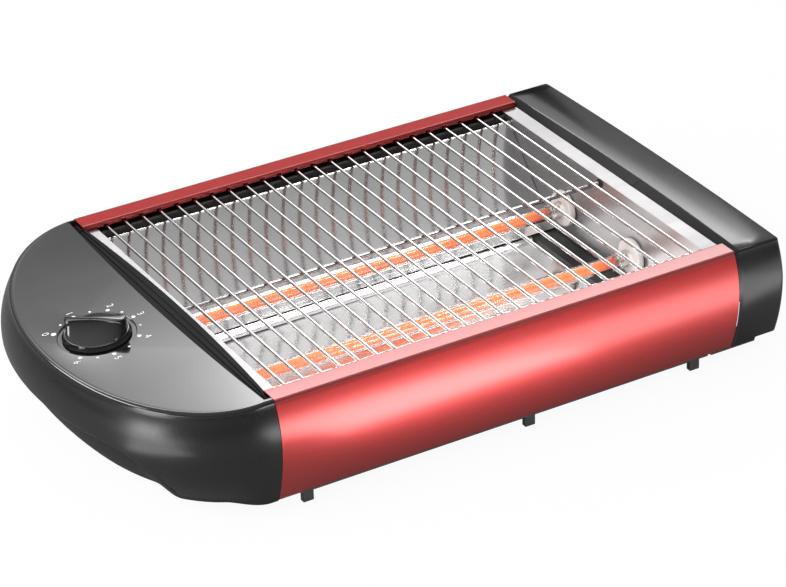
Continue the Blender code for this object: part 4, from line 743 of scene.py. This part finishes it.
# %% [markdown]
# ## Bezel strip
#
# Between the plate and the grill lies a black strip with a ridge and a ledge, bowed along both edges. A
# loft is enough: its section is a chain of points across the strip, pulled along the toaster's width while
# the points follow the two bows.

# %% Bezel
BEZEL_FLOOR = 0.0643
BEZEL_HALF_SPAN = 0.1061
LEDGE_HALF_SPAN = 0.0976
LEDGE_REACH = 0.0052
LEDGE_BOW = 0.0040
BEZEL_SHARES = (0.0, 0.0, 0.02, 0.05, 0.065, 0.13, 0.37, 0.39, 0.45, 0.47, 0.66, 0.68, 0.70, 0.985, 1.0, 1.0)
BEZEL_LEVELS = (0.0, 0.0018, 0.0020, 0.0020, 0.0018, 0.0006, 0.0006, 0.0011, 0.0011, 0.0006, 0.0006, 0.0010,
                0.0012, 0.0012, 0.0010, 0.0)


def bezel_section(y, right_edge):
    """Points across the strip at one place along its length."""
    left_edge = plate_edge(y) + 0.0003
    return [(between(left_edge, right_edge, share), y, BEZEL_FLOOR + height)
            for share, height in zip(BEZEL_SHARES, BEZEL_LEVELS)]


narrow = SEAM - 0.00015
ends = (-BEZEL_HALF_SPAN, -LEDGE_HALF_SPAN - 0.0003, LEDGE_HALF_SPAN + 0.0003, BEZEL_HALF_SPAN)
end_sections = [bezel_section(y, narrow) for y in ends]
ledge_sections = [bezel_section(y, PLATE_EDGE + LEDGE_REACH + LEDGE_BOW * (1.0 - (y / LEDGE_HALF_SPAN) ** 2))
                  for y in spaced(-LEDGE_HALF_SPAN, LEDGE_HALF_SPAN, 48)]
bezel = bmesh.new()
row_edges = chain(bezel, end_sections[0], closed=True)
bmesh.ops.contextual_create(bezel, geom=row_edges)
row_edges = loft(bezel, row_edges, [end_sections[1], *ledge_sections, *end_sections[2:]])
bmesh.ops.contextual_create(bezel, geom=row_edges)
add_piece("bezel_strip", bezel, [trim_black], stands_for=["bezel_trim"])

# %% [markdown]
# ## Red side panels
#
# Each panel is one folded sheet: a notched lip that the grill wires pass, a flat top flange, the bulged side
# and a flange at the foot. Its fold line is a chain of points pulled along X. A fine hem runs under the
# flange's outer edge, and a point just inside each of its ends keeps the flange flat when it is shaded
# smooth. The notches are cut by splitting the lip beside each wire and taking out the faces between, and the
# sheet gets its thickness last.

# %% Red panels
PANEL_LEFT = -0.1112
PANEL_RIGHT = 0.1576
LIP = 0.0986
LIP_DROP = 0.0030
SHEET = 0.0008
WIRE_COUNT = 24
NOTCH_REACH = 0.0013
NOTCH_TOP = 0.0651
HEM_TOP = TOP - 0.0006
HEM_FOOT = TOP - 0.0013
wire_xs = [box_centre(f"grill_wire_{number:02d}").x for number in range(1, WIRE_COUNT + 1)]


def side_out(height, start):
    """Half the body's width at a height, over the two arcs that meet at the crest."""
    if height >= CREST:
        return HALF_WIDTH + BULGE * (1.0 - ((height - CREST) / (start - CREST)) ** 2)
    return HALF_WIDTH + BULGE - SIDE_TUCK * ((CREST - height) / (CREST - FOOT)) ** 2


def panel_fold():
    """The fold line in Y and Z, from the lip over the flange and round the side to the foot."""
    fold = [(LIP, TOP - LIP_DROP), (LIP, TOP - 0.0005), (LIP + 0.00015, TOP - 0.00015), (LIP + 0.0005, TOP),
            (LIP + 0.0008, TOP)]
    fold += [(HALF_WIDTH - inset, TOP - drop) for inset, drop in (
        (0.0012, 0.0), (0.0009, 0.0), (0.00035, 0.00015), (0.00005, 0.0006), (0.0001, 0.0009),
        (0.0003, 0.0011), (0.0001, 0.0013))]
    start = TOP - 0.0010
    fold += [(side_out(height, start), height) for height in
             spaced(start - 0.0006, CREST, 14) + spaced(CREST, FOOT + 0.0008, 14, 1)]
    edge = side_out(FOOT, start)
    fold += [(edge - 0.0002, FOOT + 0.0003), (edge - 0.0008, FOOT), (edge - 0.0110, FOOT)]
    return fold


def lip_faces(panel):
    """The faces of a panel's lip."""
    return [face for face in panel.faces if abs(face.calc_center_median().y) < LIP + 0.0001]


for name, sign in SIDES:
    panel = bmesh.new()
    edges = chain(panel, [(PANEL_LEFT, sign * y, z) for y, z in panel_fold()])
    shift(panel, edges, (PANEL_RIGHT - PANEL_LEFT, 0.0, 0.0))
    split(panel, "z", NOTCH_TOP, lip_faces(panel))
    for x in wire_xs:
        for edge_x in (x - NOTCH_REACH, x + NOTCH_REACH):
            split(panel, "x", edge_x, lip_faces(panel))
    notches = [face for face in lip_faces(panel) if face.calc_center_median().z < NOTCH_TOP
               and min(abs(face.calc_center_median().x - x) for x in wire_xs) < NOTCH_REACH]
    bmesh.ops.delete(panel, geom=notches, context="FACES")
    # The hem's faces get the near-black channel colour, a painted shade for the shadow line under the
    # flange's edge. The flange tops get the darker flange red, also a painted shade.
    for face in panel.faces:
        middle = face.calc_center_median()
        if abs(middle.y) > HALF_WIDTH - 0.001 and HEM_FOOT < middle.z < HEM_TOP:
            face.material_index = 1
        elif middle.z > TOP - 0.0002:
            face.material_index = 2
    thicken(panel, SHEET, (0.0, 0.0, 0.03))
    add_piece(name + "_side_panel", panel, [metallic_red, painted_shade_channel, flange_red_shaded],
              stands_for=[name + "_panel"], solid=False)

# %% [markdown]
# ## End cap
#
# The cap carries the panels' bulged section on past their end and closes it with a rounded, slightly bowed
# face. Along its inner edge a sloping step leads down to the flange. Its section is pulled along X, the end
# is filled flat, split into strips, and then the bow is put into every vertex at once, so that strips and
# corners stay in line. A slot for the crumb tray is cut at the foot, and a short raised tab in the step
# marks where the moulding was gated.

# %% End cap
CAP_LEFT = 0.1579
CAP_LENGTH = 0.0308
CAP_RIGHT = CAP_LEFT + CAP_LENGTH
CAP_CORNER = 0.0015
CAP_BOW = 0.0020
STEP_LENGTH = 0.0057
STEP_END = CAP_LEFT + STEP_LENGTH
STEP_BOW = 0.0029
END_RADIUS = 0.0030
FOOT_JOG = 0.1738
JOG_LEVEL = 0.0116
CAP_STRIPS = 32
END_STRIPS = 24
SLOT_HALF_WIDTH = 0.0512
SLOT_TOP = 0.0136
TAB_EDGES = (-0.0172, -0.0170, -0.0092, -0.0090)
TAB_HEIGHT = 0.0004


def cap_section(inset):
    """The cap's outline in Y and Z from one foot over the top to the other, set in from its outside."""
    start = TOP - CAP_CORNER
    reach = HALF_WIDTH - CAP_CORNER
    side = [(side_out(height, start) - inset, height)
            for height in spaced(FOOT, CREST, 8) + spaced(CREST, start, 8, 1)]
    side += [(reach + CAP_CORNER * math.cos(turn) - inset, start + CAP_CORNER * math.sin(turn))
             for turn in spaced(0.0, TURN / 4, 6, 1)]
    squeeze = (TOP - inset - FOOT) / (TOP - FOOT)
    side = [(y, FOOT + (z - FOOT) * squeeze) for y, z in side]
    across, level = side[-1]
    top = [(y, level) for y in spaced(across, -across, CAP_STRIPS, 1)[:-1]]
    return side + top + [(-y, z) for y, z in reversed(side)]


rows = [(STEP_END - 0.0004, 0.00022), (STEP_END - 0.0001, 0.00007), (STEP_END + 0.0002, 0.0),
        (CAP_RIGHT - END_RADIUS, 0.0)]
rows += [(CAP_RIGHT - END_RADIUS * (1.0 - math.sin(turn)), END_RADIUS * (1.0 - math.cos(turn)))
         for turn in spaced(0.0, TURN / 4, 8, 1)]
cap = bmesh.new()
edges = chain(cap, [(CAP_LEFT, y, min(z, TOP - 0.0030)) for y, z in cap_section(0.0)])
edges = loft(cap, edges, [[(x, y, z) for y, z in cap_section(inset)] for x, inset in rows])
edges.append(cap.edges.new((edges[0].verts[0], edges[-1].verts[1])))
bmesh.ops.contextual_create(cap, geom=edges)
for y in spaced(-HALF_WIDTH, HALF_WIDTH, END_STRIPS, 1)[:-1]:
    split(cap, "y", y)
for axis, value in (("x", FOOT_JOG), ("x", FOOT_JOG + 0.0003), ("z", JOG_LEVEL)):
    split(cap, axis, value)
for vert in cap.verts:
    if vert.co.x > FOOT_JOG + 0.0002:
        vert.co.z = max(vert.co.z, JOG_LEVEL)
for axis, value in (("y", SLOT_HALF_WIDTH), ("y", -SLOT_HALF_WIDTH), ("z", SLOT_TOP)):
    split(cap, axis, value)
slot_faces = [face for face in cap.faces if face.calc_center_median().z < SLOT_TOP
              and abs(face.calc_center_median().y) < SLOT_HALF_WIDTH]
bmesh.ops.delete(cap, geom=slot_faces, context="FACES")
for y in TAB_EDGES:
    split(cap, "y", y)
for vert in cap.verts:
    if -0.0171 < vert.co.y < -0.0091 and vert.co.x < STEP_END - 0.001 and vert.co.z > CREST:
        vert.co.z += TAB_HEIGHT
for vert in cap.verts:
    across = min(1.0, (vert.co.y / HALF_WIDTH) ** 2)
    on_step = abs(vert.co.x - STEP_END) < 0.0005
    vert.co.x -= across * (STEP_BOW if on_step else CAP_BOW * (vert.co.x - CAP_LEFT) / CAP_LENGTH)
bmesh.ops.remove_doubles(cap, verts=cap.verts, dist=1e-5)
bmesh.ops.dissolve_degenerate(cap, edges=cap.edges, dist=1e-5)
bmesh.ops.recalc_face_normals(cap, faces=cap.faces)
cap.normal_update()
for face in cap.faces:
    middle = face.calc_center_median()
    if abs(face.normal.z) < 0.6 and middle.z < TOP - CAP_CORNER:
        face.material_index = 1
    elif middle.x < STEP_END - 0.002 and middle.z > CREST:
        face.material_index = 2
add_piece("end_cap_shell", cap, [cap_black, wall_black, grip_black], stands_for=["end_cap"],
          sharp=math.radians(22))

# %% [markdown]
# ## Reflectors
#
# On both sides of the tray a polished slope rises to a rolled edge, falls into a dark gutter and rises again
# to the bead that carries the wires. As one fold line pulled along X it stays a single sheet, like the real
# one. The faces of the gutter get a second, dark finish, because no lamp light reaches down there.

# %% Reflectors
REFLECTOR_LEFT = -0.10315
REFLECTOR_RIGHT = 0.14825
REFLECTOR_SHEET = 0.0006
SLOPE_FOOT = (0.0445, 0.0141)
SLOPE_TOP = (0.0892, 0.0606)
SLOPE_SAG = 0.0015
ROLL_RADIUS = 0.0009
BEAD_TOP = 0.0626
BEAD_SHOULDER = BEAD_TOP - 0.0004
GUTTER = 0.0584


def reflector_fold():
    """The fold line of a reflector from the tray's edge outwards."""
    fold = []
    for share in spaced(0.0, 1.0, 16):
        sag = SLOPE_SAG * 4 * share * (1.0 - share)
        fold.append((between(SLOPE_FOOT[0], SLOPE_TOP[0], share) + sag,
                     between(SLOPE_FOOT[1], SLOPE_TOP[1], share) - sag))
    roll_y, roll_z = SLOPE_TOP[0] + 0.0011, SLOPE_TOP[1] - 0.0003
    fold += [(roll_y - ROLL_RADIUS * math.cos(turn), roll_z + ROLL_RADIUS * math.sin(turn))
             for turn in spaced(0.0, TURN / 2, 8, 1)[:-1]]
    fold += [(SLOPE_TOP[0] + out, level) for out, level in (
        (0.0024, GUTTER), (0.0046, GUTTER), (0.0056, BEAD_SHOULDER), (0.0061, BEAD_TOP), (0.0071, BEAD_TOP),
        (0.0076, BEAD_SHOULDER), (0.0086, GUTTER))]
    fold.append((side_out(GUTTER, TOP - 0.001) - SHEET - 0.0006, GUTTER))
    return fold


for name, sign in SIDES:
    reflector = bmesh.new()
    edges = chain(reflector, [(REFLECTOR_LEFT, sign * y, z) for y, z in reflector_fold()])
    shift(reflector, edges, (REFLECTOR_RIGHT - REFLECTOR_LEFT, 0.0, 0.0))
    # Faces beyond the rolled edge, the gutter and the bead, get the near-black colour, a painted shade.
    for face in reflector.faces:
        if abs(face.calc_center_median().y) > SLOPE_TOP[0] + 0.0019:
            face.material_index = 1
    thicken(reflector, REFLECTOR_SHEET, (0.0, 0.0, -1.0))
    add_piece(name + "_reflector_sheet", reflector, [mirror_sheet, painted_shade_channel],
              stands_for=[name + "_reflector"], solid=False)

# %% [markdown]
# ## Crumb tray
#
# The tray is a shallow pan of the same bright sheet. Its floor rises through a cove to a narrow ledge along
# both sides, just under the feet of the reflectors, and to a ledge at its left end. The section is the same
# all along: near that end its low points are lifted, a little less in each row.

# %% Crumb tray
TRAY_FLOOR = 0.0103
TRAY_LEDGE = 0.0132
TRAY_SHEET = 0.0005
TRAY_HALF_WIDTH = 0.0500
LEDGE_INSIDE = 0.0462
COVE_FOOT = 0.0395
END_COVE = (0.0016, 0.0022, 0.0030, 0.0038, 0.0046)
tray_low, tray_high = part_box("crumb_tray")


def tray_section():
    """Points across the tray from one rolled edge to the other."""
    side = [(TRAY_HALF_WIDTH, TRAY_LEDGE - 0.0012), (TRAY_HALF_WIDTH, TRAY_LEDGE - 0.0003),
            (TRAY_HALF_WIDTH - 0.0003, TRAY_LEDGE), (LEDGE_INSIDE, TRAY_LEDGE)]
    side += [(between(LEDGE_INSIDE, COVE_FOOT, share), between(TRAY_LEDGE, TRAY_FLOOR, eased(share)))
             for share in spaced(0.0, 1.0, 8, 1)]
    return side + [(y, TRAY_FLOOR) for y in spaced(COVE_FOOT, -COVE_FOOT, 10, 1)[:-1]] \
        + [(-y, z) for y, z in reversed(side)]


rows = [(tray_low.x, TRAY_LEDGE - 0.0001)]
rows += [(tray_low.x + x, TRAY_FLOOR + (TRAY_LEDGE - TRAY_FLOOR) * (1.0 - eased(step / 4)))
         for step, x in enumerate(END_COVE)]
rows.append((tray_high.x, TRAY_FLOOR))
rows = [[(x, y, max(z, lowest)) for y, z in tray_section()] for x, lowest in rows]
tray = bmesh.new()
loft(tray, chain(tray, rows[0]), rows[1:])
thicken(tray, TRAY_SHEET, (0.0, 0.0, -1.0))
add_piece("tray_pan", tray, [mirror_sheet], body="tray", stands_for=["crumb_tray"], solid=False)

# %% [markdown]
# ## Grill wires and the rod under them
#
# Twenty-four straight plated wires lie across the opening on a longer rod. A wire is a spun section with a
# small chamfer at each cut end. One function makes them all, and each keeps its own place and name. Where
# the rod passes the end walls, a black ring round its hole is a painted shade of the hole.

# %% Wires and rod
WIRE_HALF_LENGTH = 0.104
WIRE_RADIUS = 0.0009
ROD_RADIUS = 0.00125
HOLE_SHADE_RING = ((0.0, 0.0014), (0.0, 0.0026), (0.0003, 0.0027), (0.0006, 0.0025), (0.0007, 0.0020),
          (0.0006, 0.0015), (0.0003, 0.0014), (0.0, 0.0014))


def rod_profile(half_length, radius):
    """Half section of a cut wire with chamfered ends."""
    half = [(half_length - radius * 0.3, radius), (half_length, radius * 0.7), (half_length, 0.0)]
    return [(-along, out) for along, out in reversed(half)] + half


for number in range(1, WIRE_COUNT + 1):
    node = f"grill_wire_{number:02d}"
    wire = spun(rod_profile(WIRE_HALF_LENGTH, WIRE_RADIUS), box_centre(node), (0.0, 1.0, 0.0), 20)
    add_piece(f"wire_{number:02d}", wire, [plated_wire], stands_for=[node])
rod_low, rod_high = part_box("grill_support_rod")
rod_centre = box_centre("grill_support_rod")
rod = spun(rod_profile((rod_high.x - rod_low.x) / 2, ROD_RADIUS), rod_centre, (1.0, 0.0, 0.0), 24)
add_piece("support_rod", rod, [plated_wire], stands_for=["grill_support_rod"])
# Each black ring is a painted shade of the rod's hole in the end wall.
for side, inner, sign in (("left", 1, 1.0), ("right", 0, -1.0)):
    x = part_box(side + "_end_plate")[inner].x
    hole_shade = spun(HOLE_SHADE_RING, (x + sign * 0.00005, rod_centre.y, rod_centre.z), (sign, 0.0, 0.0), 24)
    bmesh.ops.remove_doubles(hole_shade, verts=hole_shade.verts, dist=1e-6)
    add_piece(side + "_rod_eyelet", hole_shade, [satin_black])

# %% [markdown]
# ## Quartz tubes and windings
#
# Each heater is a thin quartz tube with a coiled resistance wire inside. The tube is a spun profile whose
# ends are necked down round the pins of the winding. The winding is a small ring of vertices carried round
# the tube's axis and along it at the same time, which the spin operator does when it is given a shift for
# each step. Ten turns are spun once and then set end to end, which is much quicker than one long spin. Its
# pins run straight out through the holders.

# %% Tubes and windings
TUBE_RADIUS = 0.0040
BORE = 0.0031
NECK = ((0.0, 0.0009), (0.0, 0.0014), (0.0006, 0.0018), (0.0014, 0.0027), (0.0022, 0.0035), (0.0030, 0.0039),
        (0.0038, TUBE_RADIUS))
MOUTH = ((0.0020, 0.0009), (0.0024, 0.0014), (0.0030, 0.0024), (0.0038, 0.0030), (0.0048, BORE))
COIL_INSET = 0.0056
COIL_RADIUS = 0.0024
COIL_WIRE = 0.00042
COIL_SEGMENTS = 17
COIL_SEGMENT_TURNS = 10
COIL_STEPS = 14
PIN_RADIUS = 0.00085
PIN_HALF_LENGTH = 0.0085
PIN_REACH = 0.0032

for name, _ in SIDES:
    low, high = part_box(name + "_quartz_tube")
    middle = (low + high) / 2
    half = (high.x - low.x) / 2
    wall = [(-half + along, radius) for along, radius in NECK]
    wall += [(half - along, radius) for along, radius in (*NECK[::-1], *MOUTH)]
    wall += [(-half + along, radius) for along, radius in MOUTH[::-1]]
    tube = spun(wall + wall[:1], middle, (1.0, 0.0, 0.0), 40)
    bmesh.ops.remove_doubles(tube, verts=tube.verts, dist=1e-6)
    add_piece(name + "_tube", tube, [quartz], stands_for=[name + "_quartz_tube"])

    bead = bmesh.new()
    loop = bmesh.ops.create_circle(bead, cap_ends=False, radius=COIL_WIRE, segments=6)["verts"]
    bmesh.ops.rotate(bead, verts=loop, cent=(0.0, 0.0, 0.0), matrix=Matrix.Rotation(TURN / 4, 3, "X"))
    half_coil = half - COIL_INSET
    start = Vector((middle.x - half_coil, middle.y, middle.z))
    bmesh.ops.translate(bead, verts=loop, vec=start + Vector((0.0, 0.0, COIL_RADIUS)))
    length = 2 * half_coil / COIL_SEGMENTS
    steps = COIL_SEGMENT_TURNS * COIL_STEPS
    bmesh.ops.spin(bead, geom=bead.verts[:] + bead.edges[:], cent=start, axis=(1.0, 0.0, 0.0),
                   angle=TURN * COIL_SEGMENT_TURNS, dvec=(length / steps, 0.0, 0.0), steps=steps,
                   use_merge=False)
    segment = bpy.data.meshes.new("winding_segment")
    bead.to_mesh(segment)
    bead.free()
    coil = bmesh.new()
    for number in range(COIL_SEGMENTS):
        known = len(coil.verts)
        coil.from_mesh(segment)
        coil.verts.ensure_lookup_table()
        bmesh.ops.translate(coil, verts=coil.verts[known:], vec=(length * number, 0.0, 0.0))
    bmesh.ops.remove_doubles(coil, verts=coil.verts, dist=1e-6)
    add_piece(name + "_winding", coil, [winding_glow_and_highlight], stands_for=[name + "_heating_coil"])
    for side, sign in (("left", -1), ("right", 1)):
        pin = spun(rod_profile(PIN_HALF_LENGTH, PIN_RADIUS),
                   middle + Vector((sign * (half + PIN_REACH), 0.0, 0.0)), (1.0, 0.0, 0.0), 12)
        add_piece(f"{name}_{side}_tail", pin, [zinc_steel])

# %% [markdown]
# ## Ceramic holders
#
# A turned ceramic disc stands before each end of a tube, and its spigot sits in the end plate. The profile
# is spun about the tube's axis with small radii on every edge, because fired clay is never sharp. Two bent
# prongs of plated steel reach from the disc over the neck of the tube and hold it.

# %% Ceramic holders
SPIGOT = 0.0036
HOLDER = ((-SPIGOT, 0.0010), (-SPIGOT, 0.0055), (-0.0031, 0.0060), (0.0003, 0.0060), (0.0003, 0.0097),
          (0.0006, 0.0101), (0.0012, 0.01025), (0.0029, 0.01025), (0.0036, 0.0099), (0.0039, 0.0092),
          (0.0039, 0.0062), (0.0036, 0.0057), (0.0036, 0.0038), (0.0040, 0.0034), (0.0048, 0.0031),
          (0.0051, 0.0027), (0.0050, 0.0018), (0.0044, 0.0013), (0.0036, 0.0010))
CLIP_PATH = ((0.0040, 0.0046), (0.0048, 0.0049), (0.0068, 0.0050), (0.0090, 0.0047), (0.0112, 0.0043),
             (0.0128, 0.0043), (0.0140, 0.0049))
CLIP_HALF_WIDTH = 0.0011
CLIP_SHEET = 0.0003

for name, _ in SIDES:
    for side, sign in (("left", 1), ("right", -1)):
        node = f"{name}_{side}_ceramic"
        low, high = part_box(node)
        centre = box_centre(node)
        centre.x = low.x + SPIGOT if sign > 0 else high.x - SPIGOT
        holder = spun(HOLDER, centre, (sign, 0.0, 0.0), 56)
        add_piece(f"{name}_{side}_holder", holder, [ceramic], stands_for=[node], sharp=math.radians(40))

        clip = bmesh.new()
        for turned in (1, -1):
            path = [centre + Vector((sign * along, -CLIP_HALF_WIDTH, turned * out))
                    for along, out in CLIP_PATH]
            shift(clip, chain(clip, path), (0.0, 2 * CLIP_HALF_WIDTH, 0.0))
        bmesh.ops.recalc_face_normals(clip, faces=clip.faces)
        thicken(clip, CLIP_SHEET, centre + Vector((sign * 0.0100, 0.0, -1.0)))
        add_piece(f"{name}_{side}_clip", clip, [zinc_steel], solid=False)

# %% [markdown]
# ## Timer knob
#
# The pointer knob is a disc whose top is scooped away on both sides of a ridge. The ridge is narrow and
# blunt at its pointer end and swells like a drop towards its tail. Rings pulled up from the skirt morph from
# the round rim to the drop's outline, slowly at first and then steeply, which is what gives the scoops.

# %% Knob
POINTER_ANGLE = math.radians(142.0)
KNOB = DIAL @ Matrix.Translation((0.0, 0.0, -WELL_DEPTH)) @ Matrix.Rotation(POINTER_ANGLE, 4, "Z")
KNOB_RADIUS = 0.0176
KNOB_RIM = 0.0165
RIM_HEIGHT = 0.0034
RIDGE_HEIGHT = 0.0108
FIN_TIP = 0.0156
FIN_TAIL = 0.0158
FIN_SHOULDER = 0.0020
TIP_HALF_WIDTH = 0.0008
TAIL_HALF_WIDTH = 0.0044
KNOB_COUNT = 160
SCOOP_POWER = 2.6
SKIRT = ((KNOB_RADIUS - 0.0005, 0.0006), (KNOB_RADIUS - 0.00015, 0.00075), (KNOB_RADIUS, 0.0011),
         (KNOB_RIM + 0.0001, RIM_HEIGHT - 0.0007), (KNOB_RIM, RIM_HEIGHT - 0.0004),
         (KNOB_RIM - 0.00015, RIM_HEIGHT - 0.0001), (KNOB_RIM - 0.0005, RIM_HEIGHT),
         (KNOB_RIM - 0.0010, RIM_HEIGHT - 0.00005))
SCOOP_SHARES = (0.0, 0.03, 0.06, 0.10, 0.14, 0.19, 0.25, 0.32, 0.40, 0.48, 0.57, 0.66, 0.75, 0.84, 0.91,
                0.955)


def ridge_outline(angle):
    """Plan of the ridge's top at an angle round the knob."""
    x = between(-FIN_TAIL, FIN_TIP, (1.0 + math.cos(angle)) / 2)
    tail = max(0.0, (FIN_SHOULDER - x) / (FIN_SHOULDER + FIN_TAIL))
    half_width = between(TIP_HALF_WIDTH, TAIL_HALF_WIDTH, tail * tail)
    return x, math.copysign(half_width * abs(math.sin(angle)) ** 0.4, math.sin(angle))


turns = [TURN * (step + 0.5) / KNOB_COUNT for step in range(KNOB_COUNT)]
outline = [(turn, *ridge_outline(turn)) for turn in turns]
rings = [[(radius * math.cos(turn), radius * math.sin(turn), height) for turn in turns]
         for radius, height in SKIRT]
deck = KNOB_RIM - 0.0012
for share in SCOOP_SHARES:
    merge = 1.0 - (1.0 - share) ** SCOOP_POWER
    level = between(RIM_HEIGHT - 0.0002, RIDGE_HEIGHT, share)
    rings.append([(between(deck * math.cos(turn), x, merge), between(deck * math.sin(turn), y, merge), level)
                  for turn, x, y in outline])
for inset, drop in ((0.00012, 0.00014), (0.00032, 0.00003), (0.0006, 0.0)):
    rings.append([(x * (1.0 - inset / math.hypot(x, y)), math.copysign(max(0.0, abs(y) - inset), y),
                   RIDGE_HEIGHT - drop) for turn, x, y in outline])
knob = bmesh.new()
ring = chain(knob, rings[0], closed=True)
bmesh.ops.contextual_create(knob, geom=ring)
ring = loft(knob, ring, rings[1:])
bmesh.ops.triangle_fill(knob, use_beauty=True, use_dissolve=False, edges=ring)
bmesh.ops.transform(knob, matrix=KNOB, verts=knob.verts)
add_piece("pointer_knob", knob, [knob_black], body="knob", stands_for=["timer_knob"], sharp=math.radians(40))

# %% [markdown]
# ## Dial printing
#
# White dots and plain numbers are printed round the knob, and a larger dot marks the stop. The numbers are
# text objects made into meshes and laid on the plate, as thin as a coat of ink. All of them stand upright for
# someone who sits at the control end.

# %% Dial printing
INK = 0.00004
DOT_CIRCLE = 0.0221
NUMBER_CIRCLE = 0.0264
NUMBER_SIZE = 0.0052
STOP_DOT, DOT, HALF_DOT = 0.00135, 0.0011, 0.0007
NUMBER_ANGLES = (142.4, 96.0, 49.3, 7.5, -42.9, -93.4, -138.2)
HALF_ANGLES = (119.6, 73.0, 28.7, -16.7, -69.6, -115.4)


def dial_place(radius, degrees):
    """The place on the dial at a radius and an angle, as a matrix."""
    turn = math.radians(degrees)
    return DIAL @ Matrix.Translation((radius * math.cos(turn), radius * math.sin(turn), INK))


marks = bmesh.new()
sizes = {degrees: DOT for degrees in NUMBER_ANGLES} | {degrees: HALF_DOT for degrees in HALF_ANGLES}
sizes[NUMBER_ANGLES[0]] = STOP_DOT
for degrees in sorted(sizes, reverse=True):
    bmesh.ops.create_circle(marks, cap_ends=True, radius=sizes[degrees], segments=24,
                            matrix=dial_place(DOT_CIRCLE, degrees))
add_piece("dial_dots", marks, [dial_print], solid=False)

for text, degrees in zip("0123456", NUMBER_ANGLES):
    letter = bpy.data.curves.new("number_" + text, "FONT")
    letter.body = text
    letter.size = NUMBER_SIZE
    letter.align_x = "CENTER"
    letter.align_y = "CENTER"
    holder = bpy.data.objects.new("number_" + text, letter)
    flat = bpy.data.meshes.new_from_object(holder)
    bpy.data.objects.remove(holder)
    number = bmesh.new()
    number.from_mesh(flat)
    upright = dial_place(NUMBER_CIRCLE, degrees) @ Matrix.Rotation(-TURN / 4, 4, "Z")
    bmesh.ops.transform(number, matrix=upright, verts=number.verts)
    add_piece("dial_number_" + text, number, [dial_print], solid=False)

# %% [markdown]
# ## Screws
#
# Pan head screws close the body from below, and two flat ones hold the timer under the knob. A head is a
# stack of rings, and its cross recess is made like the dial well: the top is filled round a cross-shaped
# hole, and the hole's outline is pulled down and closed.

# %% Screws
SHANK_RADIUS = 0.0014
SHANK_LENGTH = 0.0040
HEAD_RADIUS = 0.0026
PAN_HEAD = 0.0013
FLAT_HEAD = 0.0004
HEAD_SHAPE = ((1.0, 0.0), (1.0, 0.35), (0.96, 0.65), (0.86, 0.90), (0.74, 1.0))
CROSS_REACH = HEAD_RADIUS * 0.52
CROSS_HALF_WIDTH = HEAD_RADIUS * 0.12
OVER = Matrix.Rotation(TURN / 2, 4, "X")
SCREWS = {
    "base_screws": ("base_plate", [(x, y, 0.0085) for x in (-0.0708, 0.0144, 0.1172)
                                   for y in (-0.1015, 0.1015)]),
    "cap_screws": ("end_cap", [(0.1697, y, 0.0085) for y in (-0.092, 0.092)]),
    "cover_screws": ("control_base", [(x, sign * y, 0.0096) for x, y in ((-0.1233, 0.085), (-0.1433, 0.056))
                                      for sign in (-1, 1)]),
}


def cross_points():
    """Outline of the cross recess in its plane."""
    reach, half = CROSS_REACH, CROSS_HALF_WIDTH
    return [Matrix.Rotation(TURN / 4 * quarter, 2) @ Vector(corner)
            for quarter in range(4) for corner in ((reach, -half), (reach, half), (half, half))]


def add_screw(shape, place, height):
    """Add a screw whose head stands up along the place's Z from its seat."""
    rings = [(SHANK_RADIUS, -SHANK_LENGTH), (SHANK_RADIUS, 0.0)]
    rings += [(HEAD_RADIUS * out, height * up) for out, up in HEAD_SHAPE]
    loops = [ring_points(place, reach, level, 24) for reach, level in rings]
    edges = chain(shape, loops[0], closed=True)
    bmesh.ops.contextual_create(shape, geom=edges)
    edges = loft(shape, edges, loops[1:])
    recess = chain(shape, [place @ Vector((*point, height)) for point in cross_points()], closed=True)
    bmesh.ops.triangle_fill(shape, use_beauty=True, use_dissolve=False, edges=edges + recess)
    floor_edges = shift(shape, recess, place.to_3x3() @ Vector((0.0, 0.0, -height * 0.6)))
    bmesh.ops.contextual_create(shape, geom=floor_edges)


for name, (slot, places) in SCREWS.items():
    screws = bmesh.new()
    for place in places:
        add_screw(screws, Matrix.Translation(place) @ OVER, PAN_HEAD)
    add_piece(name, screws, [zinc_steel])
timer_screws = bmesh.new()
for y in (-0.0112, 0.0112):
    add_screw(timer_screws, DIAL @ Matrix.Translation((0.0, y, -WELL_DEPTH)), FLAT_HEAD)
add_piece("timer_screws", timer_screws, [zinc_steel])
